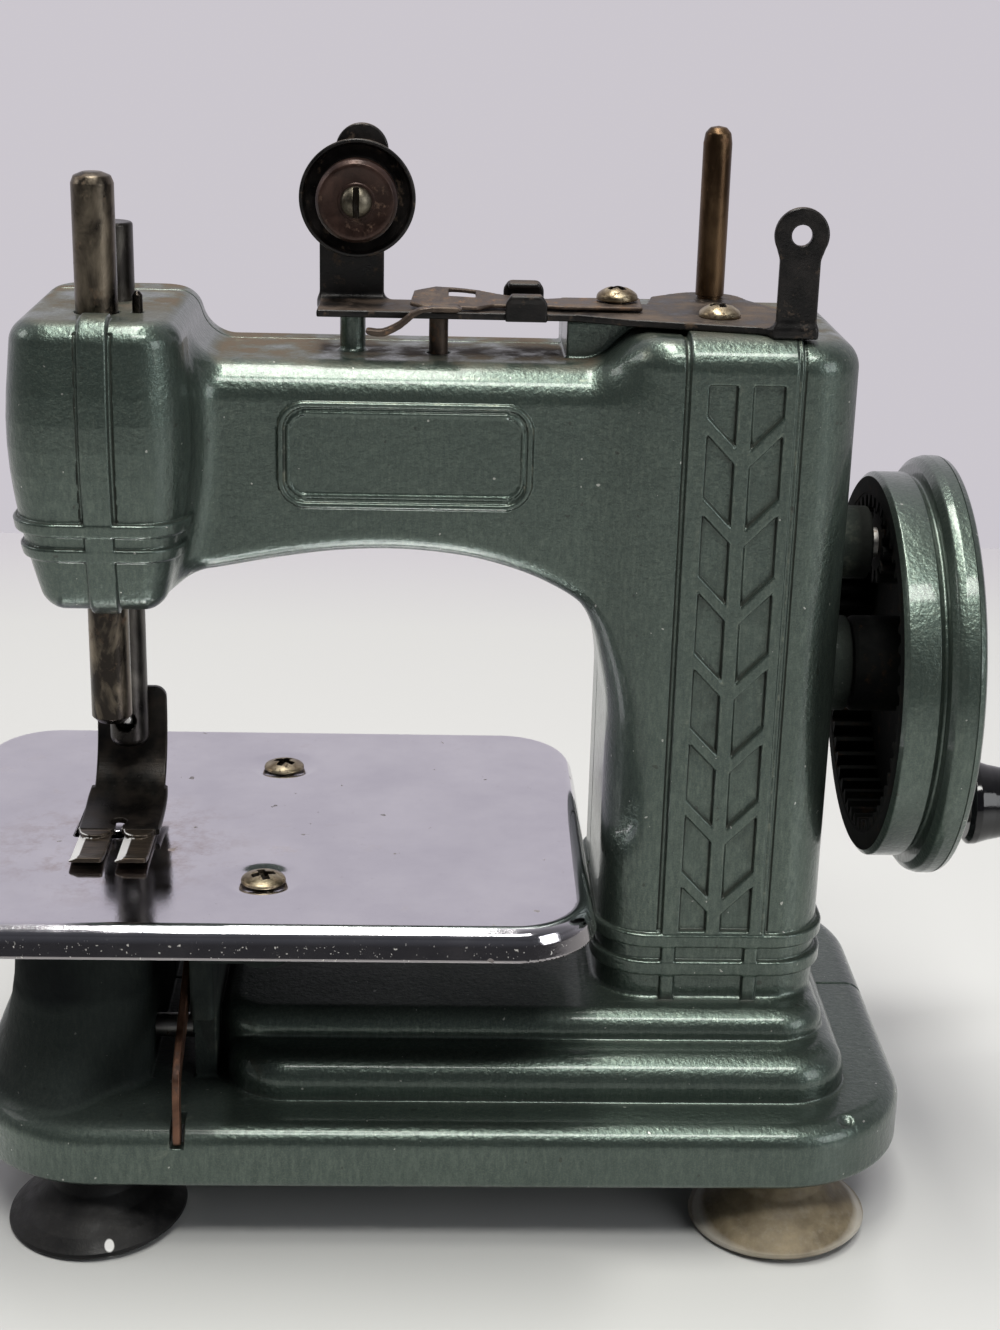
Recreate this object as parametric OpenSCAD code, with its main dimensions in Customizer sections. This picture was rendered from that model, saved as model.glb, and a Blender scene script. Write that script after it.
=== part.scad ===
// Hand-cranked toy sewing machine: two die-cast halves joined on a vertical
// parting plane, a sheet-metal cloth plate, a geared handwheel, a rocking beam
// that drives the needle bar, looper and feed, and a thread bracket on top.
// X runs along the arm (handwheel at +X), Y runs from front to back, Z is up.
// The origin is on the table under the middle of the machine.

/* [Base] */
// Length of the base rail
base_l = 152.4; // [151:0.2:154]
// Depth of the base rail
base_d = 90.5; // [89.5:0.5:92]
// Height of the base rail's underside above the table
base_z0 = 12.3; // [12:0.1:12.6]
// Height of the top of the base rail
rail_z = 22.6; // [22.4:0.1:22.8]
// Plan corner radius of the base rail
base_r = 22; // [18:1:24]

/* [Body] */
// Height of the top of the head
head_z = 145; // [144.5:0.5:146]
// Height of the underside of the head
head_z0 = 100; // [99.5:0.5:100.5]
// Height of the top of the arm
arm_z = 137.6; // [137.2:0.2:138]
// Height of the top of the column
col_z = 143.6; // [143.4:0.2:143.8]
// Wall thickness of the castings
wall = 2.4; // [2.2:0.1:2.6]

/* [Cloth plate] */
// Height of the plate's working face
plate_z = 60; // [59.8:0.1:60.1]
// Sheet thickness of the plate
plate_t = 1; // [0.8:0.1:1]
// Height of the plate's turned-down rim
rim_h = 4.8; // [4:0.2:5.5]
// Plan corner radius of the plate
plate_r = 13; // [10:1:16]

/* [Bars] */
// Diameter of the needle bar and of the presser bar
bar_d = 6.35; // [6:0.05:6.4]
// Stroke of the needle bar
stroke = 17.5; // [17:0.5:17.5]
// Diameter of the needle socket
socket_d = 2.1; // [1.8:0.1:2.2]
// Running clearance around a shaft
run = 0.05; // [0.03:0.01:0.08]

/* [Handwheel] */
// Height of the handwheel's axis
wheel_z = 85.7; // [85.5:0.1:85.9]
// Radius of the handwheel's flange
wheel_r = 34.9; // [34.5:0.1:35.2]
// Teeth of the ring gear inside the handwheel
ring_n = 54; // [54]
// Teeth of the drive pinion
pin_n = 12; // [12]
// Radius of the crank
crank_r = 25; // [24:0.5:25]

/* [Spool and tension] */
// Diameter of the spool pin
spool_d = 4.6; // [4.4:0.1:4.8]
// Height of the top of the spool pin
spool_z = 172; // [171.5:0.1:172]
// Radius of the tension discs
disc_r = 9; // [8.6:0.1:9.2]

/* [Hidden] */
$fn = 64;

// the needle bar's axis stands at (-nx, -ny); every module below is drawn from that axis
nx = 65.5;
ny = 14.25;
module place() translate([-nx, -ny, 0]) children();

// parting plane of the two castings
seam = 22.1;
// middle of the base, column and wheel, front to back
mid = 16.25;
bx0 = -23;
bx1 = bx0 + base_l;
by0 = mid - base_d / 2;
by1 = mid + base_d / 2;
br = bar_d / 2;
// presser bar's axis
px = 0.8;
py = 12.5;
// ring gear and pinion, module 1
gm = 1;
drive_z = wheel_z + gm * (ring_n - pin_n) / 2;
// rocking beam: pivot, half swing, stud on the needle bar's collar
pvx = 70;
pvz = 117;
stud_x = 12;
swing = asin(stroke / 2 / (pvx - stud_x));
stud_h = 5.5;
stud_z = pvz + stud_h;
// throw of the crank pin
throw = 22 * sin(swing);
// link rod and looper rocker
rod_x = 17;
rod_dz = rod_x * sin(swing);
rock_l = 11;
rock_a = asin(rod_dz / rock_l);
// looper shaft's axis
lsy = -3;
lsz = 27;
tens_x = 38.3;
tens_z = 160.8;
screw_at = [[-8.2, 107], [60, 130.2], [107.6, 134], [107.6, 48], [50, 19], [-8, 19]];

// ---- helpers ----
module rrect(x0, x1, y0, y1, r) {
  translate([x0 + r, y0]) square([x1 - x0 - 2 * r, y1 - y0]);
  translate([x0, y0 + r]) square([x1 - x0, y1 - y0 - 2 * r]);
  for (x = [x0 + r, x1 - r], y = [y0 + r, y1 - r]) translate([x, y]) circle(r);
}
module slab(x0, x1, y0, y1, z0, z1, r)
  translate([0, 0, z0]) linear_extrude(z1 - z0) rrect(x0, x1, y0, y1, r);
module box(x0, x1, y0, y1, z0, z1) translate([x0, y0, z0]) cube([x1 - x0, y1 - y0, z1 - z0]);
// profile in (X, Z), extruded along Y
module along_y(y0, y1) translate([0, y1, 0]) rotate([90, 0, 0]) linear_extrude(y1 - y0) children();
// profile in (Y, Z), extruded along X
module along_x(x0, x1) translate([x0, 0, 0]) rotate([90, 0, 90]) linear_extrude(x1 - x0) children();
module cyl_x(x0, x1, y, z, r) translate([x0, y, z]) rotate([0, 90, 0]) cylinder(h = x1 - x0, r = r);
module cyl_y(x, y0, y1, z, r) translate([x, y0, z]) rotate([-90, 0, 0]) cylinder(h = y1 - y0, r = r);
module cyl_z(x, y, z0, z1, r) translate([x, y, z0]) cylinder(h = z1 - z0, r = r);
// profile in (radius, X), turned about the line through (y, z) along X
module turn_x(y, z) translate([0, y, z]) rotate([0, 90, 0]) rotate_extrude() children();
// profile in (radius, -Y), turned about the line through (x, z) along Y
module turn_y(x, z) translate([x, 0, z]) rotate([90, 0, 0]) rotate_extrude() children();

// involute tooth outline: flank point at radius r for pitch radius p and half tooth angle ha
function inv_t(b, r) = sqrt(max(0, r * r / (b * b) - 1));
function inv_a(b, r) = inv_t(b, r) * 180 / PI - atan(inv_t(b, r));
function flank(p, b, r, ha) = ha + inv_a(b, p) - inv_a(b, max(r, b));
function gear_pts(n, ri, ro, thin) = let (p = gm * n / 2, b = p * cos(20),
  ha = 90 / n - thin / p * 90 / PI, rs = [for (k = [0 : 4]) ri + (ro - ri) * k / 4])
  [for (i = [0 : n - 1]) let (c = i * 360 / n) each concat(
    [for (k = [0 : 4]) let (a = c - flank(p, b, rs[k], ha)) rs[k] * [cos(a), sin(a)]],
    [for (k = [4 : -1 : 0]) let (a = c + flank(p, b, rs[k], ha)) rs[k] * [cos(a), sin(a)]])];

// round-wire coil along Z
module coil(r, w, h, turns, sides = 8, seg = 14) {
  n = turns * seg;
  pts = [for (i = [0 : n]) let (a = 360 * i / seg, z = h * i / n) for (k = [0 : sides - 1])
    let (b = 360 * k / sides, q = r + w * cos(b)) [q * cos(a), q * sin(a), z + w * sin(b)]];
  faces = concat(
    [for (i = [0 : n - 1], k = [0 : sides - 1]) let (l = (k + 1) % sides)
      [i * sides + k, (i + 1) * sides + k, (i + 1) * sides + l, i * sides + l]],
    [[for (k = [0 : sides - 1]) k]], [[for (k = [sides - 1 : -1 : 0]) n * sides + k]]);
  polyhedron(pts, faces);
}

// ---- castings ----
module arm_shape(t, lo, hi)
  polygon([[6, lo + 4 + t], [14, lo + 4.4 + t], [26, lo + 6.6 + t], [36, lo + 8 + t], [46, lo + 8.3 + t],
    [56, lo + 7.3 + t], [64, lo + 5.2 + t], [70 + t * 0.4, lo + 2.6 + t], [74.2 + t * 0.7, lo - 0.2 + t * 0.7],
    [77 + t, lo - 4 + t * 0.4], [78.4 + t, lo - 8], [79 + t, lo - 14], [92, lo - 14], [92, hi - t], [6, hi - t]]);

module casting_outer() {
  slab(bx0, bx1, by0, by1, base_z0, rail_z, base_r);
  slab(18.4, 119.5, mid - 36, mid + 36, rail_z - 1, 29.6, 10);
  slab(16.8, 116.6, mid - 28, mid + 28, 28, 34, 8);
  slab(79, 115.6, mid - 22.25, mid + 22.25, 33, col_z, 6);
  along_y(-0.5, 31.5) arm_shape(0, head_z0, arm_z);
  box(71, 84, 9, 31.5, arm_z - 2, col_z);
  slab(-13, 14, -12, 32, head_z0, head_z, 6);
  slab(-15.5, 6.5, -17, 44, rail_z - 1, plate_z - plate_t, 8);
  box(13, 16.8, -16, 43, rail_z - 1, plate_z - plate_t);
  // bosses for the plate's screws, each on a rib from the cross web
  for (y = [-16.2, 31.2]) {
    cyl_z(25, y, 46.2, plate_z - plate_t, 4);
    box(15, 25, y - 2.5, y + 2.5, 46.2, plate_z - plate_t);
  }
  cyl_x(114, 120, mid, wheel_z, 8);
  cyl_x(114, 122, mid, drive_z, 6);
  cyl_z(37.7, 12.6, arm_z - 1, col_z, 2);
}

module casting_inner() {
  slab(bx0 + wall, bx1 - wall, by0 + wall, by1 - wall, base_z0 - 1, rail_z - wall, base_r - wall);
  slab(21, 117, mid - 33.4, mid + 33.4, rail_z - 4, 27.2, 7.5);
  slab(19.4, 114, mid - 25.6, mid + 25.6, 26, 31.6, 5.5);
  slab(79 + wall, 115.6 - wall, mid - 19.85, mid + 19.85, 24, col_z - wall, 4);
  along_y(-0.5 + wall, 31.5 - wall) arm_shape(wall, head_z0, arm_z);
  slab(-13 + wall, 14 - wall, -12 + wall, 32 - wall, head_z0 + 4, head_z - wall, 4);
  slab(-13, 4, -14.6, 41.6, rail_z - 6, plate_z + 1, 6);
  // relief between the bed and the cross web, where the looper drive and the lever sit
  box(6, 13.5, -13, 40, rail_z, rail_z + 8);
  // step back at the foot of the web's front edge
  box(12.5, 16.8, -17, -12.2, rail_z, 34.7);
}

// inner bosses and ribs that stand in the hollows
module boss(p, y0, y1, r) cyl_y(p[0], y0, y1, p[1], r);
module casting_bosses() {
  for (p = screw_at) intersection() {
    boss(p, -26, by1 - 1, 4.4);
    casting_outer();
  }
  // drive shaft's bearing boss inside the column
  cyl_x(107, 115, mid, drive_z, 6);
  cyl_x(108, 115, mid, wheel_z, 8);
  // beam pivot bosses
  cyl_y(pvx, 0, 11.6, pvz, 4);
  cyl_y(pvx, seam, 30, pvz, 4);
  // feed bar's guides in the bed
  box(-13.6, 4.6, 17, 20.4, 46, 56);
  box(-13.6, 4.6, 27, 30.4, 46, 56);
}

// holes through both castings
module casting_holes() {
  cyl_z(0, 0, head_z0 - 1, head_z + 1, br + run);
  cyl_z(px, py, head_z0 - 1, head_z + 1, br + run);
  cyl_z(6, 0.4, head_z - wall - 1, head_z + 1, 0.85);
  cyl_z(51.1, 12.3, arm_z - wall - 1, arm_z + 1, 1.5 + run);
  cyl_x(106, 123, mid, drive_z, 5.03);
  cyl_x(104, 121, mid, wheel_z, 4.03);
  cyl_y(pvx, 2, 28, pvz, 2.03);
  cyl_x(2, 30, lsy, lsz, 2 + run);
  cyl_x(6, 17.5, 3, 44, 1.53);
  // feed bar's guides
  box(-8.3, -3.2, 10, 36, 49.7, 53.3);
  for (y = [-16.2, 31.2]) cyl_z(25, y, 48, plate_z, 1.55);
  cyl_z(79, 14.1, 136, col_z + 1, 1.55);
  cyl_z(94.4, 7.5, 136, col_z + 1, 1.55);
  // notch in the front rail for the lever's tip
  box(9.6, 14.2, by0 - 1, by0 + 6, rail_z - 3.4, rail_z + 1);
  // foot sockets
  for (x = [-2.5, 108.9], y = [mid - 33.25, mid + 33.25]) cyl_z(x, y, base_z0 - 1, 21.2, 3.05);
}

module foot_bosses() for (x = [-2.5, 108.9], y = [mid - 33.25, mid + 33.25])
  cyl_z(x, y, base_z0, rail_z - 1, 6);

module casting_half(front) difference() {
  union() {
    difference() {
      casting_outer();
      casting_inner();
    }
    casting_bosses();
    foot_bosses();
  }
  casting_holes();
  for (p = screw_at) {
    boss(p, 12, seam + 1, 1.25);
    boss(p, seam - 1, 28.1, 1.6);
    boss(p, 28.1, by1 + 1, 3.2);
  }
  if (front) box(-60, 180, seam, 120, -5, 200);
  else box(-60, 180, -80, seam, -5, 200);
}

module front_casting() color("darkslategray") place() casting_half(true);
module rear_casting() color("darkslategray") place() casting_half(false);

module casing_screws() color("silver") place() for (p = screw_at) difference() {
  union() {
    boss(p, 14, 28.2, 1.2);
    boss(p, 28.15, 30.2, 2.9);
  }
  translate([p[0] - 4, 29.4, p[1] - 0.4]) cube([8, 2, 0.8]);
}

// ---- cloth plate ----
module cloth_plate() color("lavender") place() difference() {
  slab(-29, 76.5, -35, 49.6, plate_z - rim_h, plate_z, plate_r);
  slab(-29 + plate_t, 76.5 - plate_t, -35 + plate_t, 49.6 - plate_t, plate_z - rim_h - 1, plate_z - plate_t, plate_r - plate_t);
  cyl_z(0, 0, plate_z - 3, plate_z + 1, 1.6);
  box(-6.8, -2.4, -1, 17.5, plate_z - 3, plate_z + 1);
  for (y = [-16.2, 31.2]) cyl_z(25, y, plate_z - 3, plate_z + 1, 2);
}

// oval-head screw with a cross recess
module pan_screw(hr, hh, sr, len) difference() {
  union() {
    rotate_extrude() polygon([[0, -0.01], [hr, -0.01], [hr, hh * 0.35], [hr * 0.8, hh * 0.8], [hr * 0.4, hh], [0, hh]]);
    translate([0, 0, -len]) cylinder(h = len + 0.01, r = sr);
  }
  for (a = [45, 135]) rotate([0, 0, a]) translate([-hr * 0.5, -0.35, hh * 0.35]) cube([hr, 0.7, hh]);
}
module plate_screws() color("tan") place() for (y = [-16.2, 31.2]) translate([25, y, plate_z + 0.02]) pan_screw(3.6, 1.3, 1.5, 11);

// ---- thread bracket and its pieces ----
bt = 1.2;
bz = col_z + bt;
module thread_bracket() color([0.1, 0.1, 0.1]) place() difference() {
  union() {
    translate([0, 0, col_z]) linear_extrude(bt) {
      polygon([[32.3, 7], [72, 7], [80, 3.6], [99, -1], [101.4, -2.6], [107.7, -2.6], [107.7, 8], [103, 20],
        [99, 29], [89, 29], [85.5, 26], [84, 18.2], [32.3, 18.2]]);
      translate([94.2, 25.2]) circle(6.4);
    }
    // rear tab that carries the tension discs
    box(32.3, 42.3, 17, 18.2, col_z, tens_z + 3);
    cyl_y(tens_x, 17, 18.2, tens_z + 1, 6.5);
    cyl_y(tens_x + 0.6, 17, 18.2, spool_z - 4.2, 4.1);
    // front tab with the thread eye
    box(101.4, 107.7, -2.6, -1.4, col_z, 159);
    cyl_y(104.6, -2.6, -1.4, 158.7, 4.1);
    // folded clips that keep the clamp spring in line
    for (y = [5.8, 18]) box(61.5, 67.5, y, y + 1.2, col_z, bz + 3.2);
    box(61.5, 67.5, 5.8, 9, bz + 2, bz + 3.2);
    box(61.5, 67.5, 16, 19.2, bz + 2, bz + 3.2);
  }
  cyl_y(tens_x, 16, 19, tens_z, 1.53);
  cyl_y(104.6, -4, 0, 158.7, 1.5);
  cyl_z(51.1, 12.3, col_z - 1, bz + 1, 1.9);
  cyl_z(79, 14.1, col_z - 1, bz + 1, 1.55);
  cyl_z(94.4, 7.5, col_z - 1, bz + 1, 1.55);
  cyl_z(95, 25.6, col_z - 1, bz + 1, 1.53);
}

module bracket_screws() color("tan") place() {
  translate([79, 14.1, bz + 1.5]) pan_screw(3.2, 2, 1.5, 10);
  translate([94.4, 7.5, bz + 0.02]) pan_screw(3.2, 2, 1.5, 8);
}

module spool_pin() color("saddlebrown") place() translate([95, 25.6, 0]) {
  translate([0, 0, bz + 0.01]) rotate_extrude() polygon([[0, 0], [spool_d / 2 - 0.3, 0], [spool_d / 2 - 0.3, 0.4], [spool_d / 2, 0.5], [spool_d / 2, spool_z - bz - 2],
    [spool_d / 2 - 0.4, spool_z - bz - 1], [spool_d / 2 - 1.2, spool_z - bz - 0.25], [0, spool_z - bz - 0.01]]);
  translate([0, 0, col_z + 0.02]) cylinder(h = bt + 0.1, r = 1.5);
}

module tension_disc_rear() color([0.1, 0.1, 0.1]) place() turn_y(tens_x, tens_z)
  polygon([[1.75, -16.9], [disc_r - 1, -16.9], [disc_r - 0.2, -16.6], [disc_r - 0.2, -16.3], [disc_r - 1.2, -16.2], [1.75, -16.2]]);

module tension_disc_front() color([0.1, 0.1, 0.1]) place() turn_y(tens_x, tens_z)
  polygon([[1.75, -16], [disc_r - 2, -16], [disc_r, -15], [disc_r, -14.2], [disc_r - 0.6, -14], [disc_r - 2.4, -15.2], [1.75, -15.2]]);

module tension_spring() color("silver") place() translate([tens_x, 14.7, tens_z]) rotate([90, 0, 0]) coil(4.2, 0.4, 3.4, 4);

module tension_cap() color([0.2, 0.12, 0.1]) place() turn_y(tens_x, tens_z)
  polygon([[1.75, -10.4], [5.2, -10.4], [5.2, -13.6], [6.2, -13.6], [6.2, -10], [5.6, -9.4], [1.75, -9.4]]);

module tension_screw() color("gray") place() difference() {
  union() {
    cyl_y(tens_x, 9, 20.4, tens_z, 1.5);
    turn_y(tens_x, tens_z) polygon([[0, -9.2], [2.45, -9.2], [2.45, -8.3], [1.8, -7.7], [0, -7.4]]);
  }
  translate([tens_x - 0.35, 7, tens_z - 4]) cube([0.7, 1.3, 8]);
}

sp0 = bz + 0.35;
module thread_clamp_spring() color([0.3, 0.25, 0.2]) place() difference() {
  union() {
    translate([0, 0, sp0]) linear_extrude(0.6) polygon([[46, 9.6], [49, 7.6], [60, 7.6], [61, 9.4], [68, 9.4], [70, 8], [82.4, 8],
      [82.4, 18.4], [70, 17.6], [68, 15.6], [61, 15.6], [60, 17.4], [49, 17.4], [46, 15]]);
    // narrow finger bent down over the bracket's front edge
    along_y(4, 6) polygon([[41, 142.2], [42.4, 141.9], [48.6, sp0], [54, sp0], [54, sp0 + 0.6], [48.2, sp0 + 0.6]]);
    box(50.4, 54, 4, 9, sp0, sp0 + 0.6);
  }
  box(53, 57, 13, 15.6, sp0 - 1, sp0 + 2);
  cyl_z(79, 14.1, sp0 - 1, sp0 + 2, 1.9);
}

module release_pin() color("dimgray") place() {
  cyl_z(51.1, 12.3, 128, bz + 0.05, 1.5);
  cyl_z(51.1, 12.3, 127.6, 128.8, 2.6);
}

module head_pin() color("dimgray") place() cyl_z(6, 0.4, head_z - wall, head_z + 3.2, 0.8);

// ---- handwheel and drive ----
module handwheel() color("darkslategray") place() difference() {
  union() {
    turn_x(mid, wheel_z) polygon([[4.05, 120.4], [8, 120.4], [8, 130.2], [26.6, 130.2], [26.6, 129], [30, 129], [30, 123], [31.4, 123], [32.1, 123.8],
      [32.1, 128.8], [31, 129.6], [31, 130], [33.4, 130], [wheel_r, 131.4], [wheel_r, 134], [33.8, 135.3], [32.2, 135.3],
      [31.4, 134.4], [30.6, 133], [10, 133], [9, 133.2], [4.05, 133.2]]);
    difference() {
      cyl_x(123.2, 129.4, mid, wheel_z, 30.5);
      translate([122, mid, wheel_z]) rotate([90, 0, 90]) linear_extrude(9) rotate(90) polygon(gear_pts(ring_n, 26.25, 28.3, -0.1));
    }
  }
  cyl_x(129, 134, mid, wheel_z - crank_r, 2.51);
}

module handwheel_axle() color("gray") place() difference() {
  union() {
    cyl_x(105, 133.6, mid, wheel_z, 4);
    turn_x(mid, wheel_z) polygon([[0, 133.5], [6.8, 133.5], [6.8, 134.6], [5.6, 135.4], [0, 135.4]]);
  }
  box(134.6, 136, mid - 8, mid + 8, wheel_z - 0.6, wheel_z + 0.6);
}

module crank_pin() color("gray") place() {
  cyl_x(130.2, 133.2, mid, wheel_z - crank_r, 2.5);
  cyl_x(133.05, 142, mid, wheel_z - crank_r, 3.6);
  cyl_x(141.9, 157.6, mid, wheel_z - crank_r, 2.3);
  cyl_x(157.5, 158.8, mid, wheel_z - crank_r, 3.2);
}

module crank_knob() color([0.05, 0.05, 0.05]) place() turn_x(mid, wheel_z - crank_r)
  polygon([[2.35, 142.4], [6.6, 142.4], [7.2, 143], [7.2, 144.2], [6.5, 146.5], [5.9, 149.5], [6, 152.5], [6.5, 155.5], [6.3, 158], [5.2, 159.5], [3.9, 160],
    [3.5, 160], [3.5, 157.2], [2.35, 157.2]]);

module drive_pinion() color("goldenrod") place() difference() {
  translate([123.5, mid, drive_z]) rotate([90, 0, 90]) linear_extrude(4.9) rotate(90) polygon(gear_pts(pin_n, 4.7, 6.85, 0.1));
  cyl_x(123, 129, mid, drive_z, 2.51);
}

module drive_shaft() color("gray") place() cyl_x(100.4, 128.8, mid, drive_z, 2.5);

module shaft_bush() color("goldenrod") place() difference() {
  cyl_x(107, 122.2, mid, drive_z, 5);
  cyl_x(106, 123, mid, drive_z, 2.5 + run);
}

module crank_disc() color("gray") place() difference() {
  cyl_x(98, 102.6, mid, drive_z, 7);
  cyl_x(100.38, 104, mid, drive_z, 2.51);
  cyl_x(97, 100.02, mid - throw, drive_z, 1.51);
}

module drive_crank_pin() color("gray") place() cyl_x(95.4, 100, mid - throw, drive_z, 1.5);

// ---- rocking beam, needle bar and presser bar ----
module beam_pivot() color("gray") place() cyl_y(pvx, 2.2, 27.8, pvz, 2);

// the beam is level here, with the needle bar at the middle of its stroke
module rocker_beam() color("slategray") place() difference() {
  union() {
    along_y(13.2, 14.8) polygon([[6.9, 118.6], [14, 118.8], [30, 117.4], [50, 115.6], [64, 113], [76, 112], [84, 111], [91.4, 101],
      [92.6, 101], [92.6, 112.4], [90, 117], [76, 122.4], [64, 123], [46, 123.8], [30, 124.4], [14, 125], [6.9, 125]]);
    box(91.4, 92.6, 13.2, 24.5, 101, 112.4);
    box(91.4, 92.6, 9.6, 14, 103.6, 109.8);
  }
  // slot for the stud on the needle bar's collar
  along_y(12, 16) rrect(stud_x - 3.5, stud_x + 2.2, pvz + stud_h - 2.03, pvz + stud_h + 1.77, 1.88);
  cyl_y(pvx, 12, 16, pvz, 2 + run);
  cyl_y(pvx + rod_x, 12, 16, pvz - 2, 1.51);
  // slot for the crank pin
  box(91, 93, 10.8, 22, drive_z - 1.9, drive_z + 1.9);
}
module beam_stud() color("gray") place() cyl_y(pvx + rod_x, 4.4, 14.8, pvz - 2, 1.5);

module needle_bar() color("gray") place() difference() {
  rotate_extrude() polygon([[0, 80], [br - 0.8, 80], [br, 80.8], [br, 164.4], [br - 0.4, 165], [0, 165.6]]);
  cyl_z(0, 0, 79, 94, socket_d / 2);
  cyl_y(0, 0, 5, 84, 0.82);
}
module needle_clamp_screw() color("tan") place() {
  cyl_y(0, 1.1, 4.4, 84, 0.8);
  cyl_y(0, 4.3, 5.2, 84, 1.5);
}
module needle_bar_collar() color("slategray") place() difference() {
  union() {
    slab(-4.6, 8, -4.9, 4.9, stud_z - 3, stud_z + 3, 2);
    slab(4, 14.2, 2.5, 4.9, stud_z - 3, stud_z + 3, 1.1);
    cyl_y(stud_x, 4, 15.6, stud_z, 1.5);
  }
  cyl_z(0, 0, stud_z - 4, stud_z + 4, br + 0.02);
  cyl_y(0, -6, -2, stud_z, 1.02);
}
module collar_screw() color("gray") place() {
  cyl_y(0, -4.9, -3.3, stud_z, 1);
  cyl_y(0, -6.1, -4.9, stud_z, 1.8);
}

module presser_bar() color("gray") place() difference() {
  translate([px, py, 0]) rotate_extrude() polygon([[0, 71.2], [br - 1.4, 71.4], [br - 0.4, 72], [br, 73], [br, 156.4], [br - 0.4, 156.8], [0, 156.8]]);
  cyl_y(px, 5, 20, 76, 1.02);
}
module presser_collar() color("slategray") place() difference() {
  cyl_z(px, py, 112, 116, 4.6);
  cyl_z(px, py, 111, 117, br + 0.02);
}
module presser_spring() color("silver") place() translate([px, py, 116.7]) coil(3.95, 0.4, 25, 7);

function arc(cy, cz, r, a0, a1, n) = [for (i = [0 : n]) let (a = a0 + (a1 - a0) * i / n) [cy + r * cos(a), cz + r * sin(a)]];
module presser_foot() color([0.12, 0.1, 0.1]) place() difference() {
  translate([0, 0, plate_z + 0.35]) along_x(px - 5.8, px + 5.8) polygon(concat([[17, 19], [15.8, 19]], arc(3, 13.6, 12.8, 0, -90, 12),
    [[-10.4, 0.8], [-12.6, 2.2], [-13.2, 1.4], [-10.8, 0.25], [-10, 0]], arc(3, 14, 14, -90, 0, 12)));
  cyl_z(0, 0, 58, 64, 1.3);
  box(-0.8, 0.9, -15, 0, 58, 66);
  cyl_y(px, 14, 19, 76, 1.05);
}
module presser_foot_screw() color("gray") place() {
  cyl_y(px, 8.3, 18, 76, 1);
  cyl_y(px, 17.05, 18.6, 76, 2);
}

// ---- looper drive and feed ----
rod_y = lsy + rock_l * (1 + cos(rock_a)) / 2;
rod_top = pvz - 2;
rod_bot = lsz;
rod_cx = pvx + rod_x - 0.2;
module link_rod() color("slategray") place() difference() {
  union() {
    cyl_z(rod_cx, rod_y, rod_bot, rod_top, 1.8);
    box(rod_cx - 2.6, rod_cx + 2.6, rod_y - 2.3, rod_y + 2.3, rod_top - 3.2, rod_top + 3.2);
    box(rod_cx - 2, rod_cx + 2, rod_y - 3.2, rod_y + 3.2, rod_bot - 3.2, rod_bot + 3.2);
  }
  cyl_y(rod_cx, 2, 17, rod_top, 2.05);
  cyl_x(80, 96, rod_y, rod_bot, 2.05);
}
module looper_shaft() color("gray") place() cyl_x(-3, 92.6, lsy, lsz, 2);
// the rocker is level and the looper upright at the middle of the stroke
module looper_pose() translate([0, lsy, lsz]) children();
module looper_rocker() color("slategray") place() looper_pose() difference() {
  union() {
    cyl_x(89.4, 92.6, 0, 0, 3.6);
    box(90, 92, 0, rock_l, -2.4, 2.4);
    cyl_x(90, 92, rock_l, 0, 2.4);
    cyl_x(84.2, 91, rock_l, 0, 1.5);
  }
  cyl_x(88, 94, 0, 0, 2.01);
}
module looper() color("silver") place() looper_pose() difference() {
  union() {
    cyl_x(-2, 2, 0, 0, 4);
    along_x(-1, 1) polygon([[-2.4, 0], [2.4, 0], [2, 22], [1.6, 26.6], [-1.2, 28.4], [-3.2, 28.6], [-3.4, 28], [-1.4, 26.4], [-0.6, 23]]);
  }
  cyl_x(-3, 3, 0, 0, 2.01);
}

module feed_dog() color("silver") place() {
  box(-8, -3.5, 1, 33, 50, 53);
  along_x(-6.2, -3.5) polygon(concat([[2, 52], [2, 58.6]], [for (i = [0 : 7]) each [[2 + i * 1.4, 58.6], [3 + i * 1.4, 59.6], [3.2 + i * 1.4, 58.6]]],
    [[13.4, 58.6], [13.4, 52]]));
}

module stitch_lever() color("peru") place() difference() {
  along_x(11.4, 12.6) polygon([[6, 46.4], [0, 46.6], [-12, 40.4], [-25.6, 33.4], [-28.2, 30.4], [-29.2, 24], [-29.3, 20.4], [-26.9, 20.4], [-26.2, 28.6],
    [-23.6, 30.4], [-10.6, 36.4], [1.6, 41.4], [6, 41.6]]);
  cyl_x(10, 14, 3, 44, 1.5 + run);
}
module lever_pin() color("gray") place() {
  cyl_x(7, 17, 3, 44, 1.5);
  cyl_x(9.8, 11.1, 3, 44, 2.4);
}

// ---- suction feet ----
module foot(x, y) place() translate([x, y, 0]) rotate_extrude() polygon([[0, 4.4], [4, 3.6], [9.4, 1.4], [12, 0], [14, 0], [14, 1], [12.4, 2.6], [10, 5.4],
  [8, 8.2], [6.6, 10.6], [6, base_z0 - 0.02], [3, base_z0 - 0.02], [3, base_z0 + 7], [2, base_z0 + 8.4], [0, base_z0 + 8.6]]);
module foot_front_left() color([0.1, 0.1, 0.1]) foot(-2.5, mid - 33.25);
module foot_front_right() color([0.35, 0.27, 0.18]) foot(108.9, mid - 33.25);
module foot_rear_left() color([0.1, 0.1, 0.1]) foot(-2.5, mid + 33.25);
module foot_rear_right() color([0.35, 0.27, 0.18]) foot(108.9, mid + 33.25);

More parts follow.
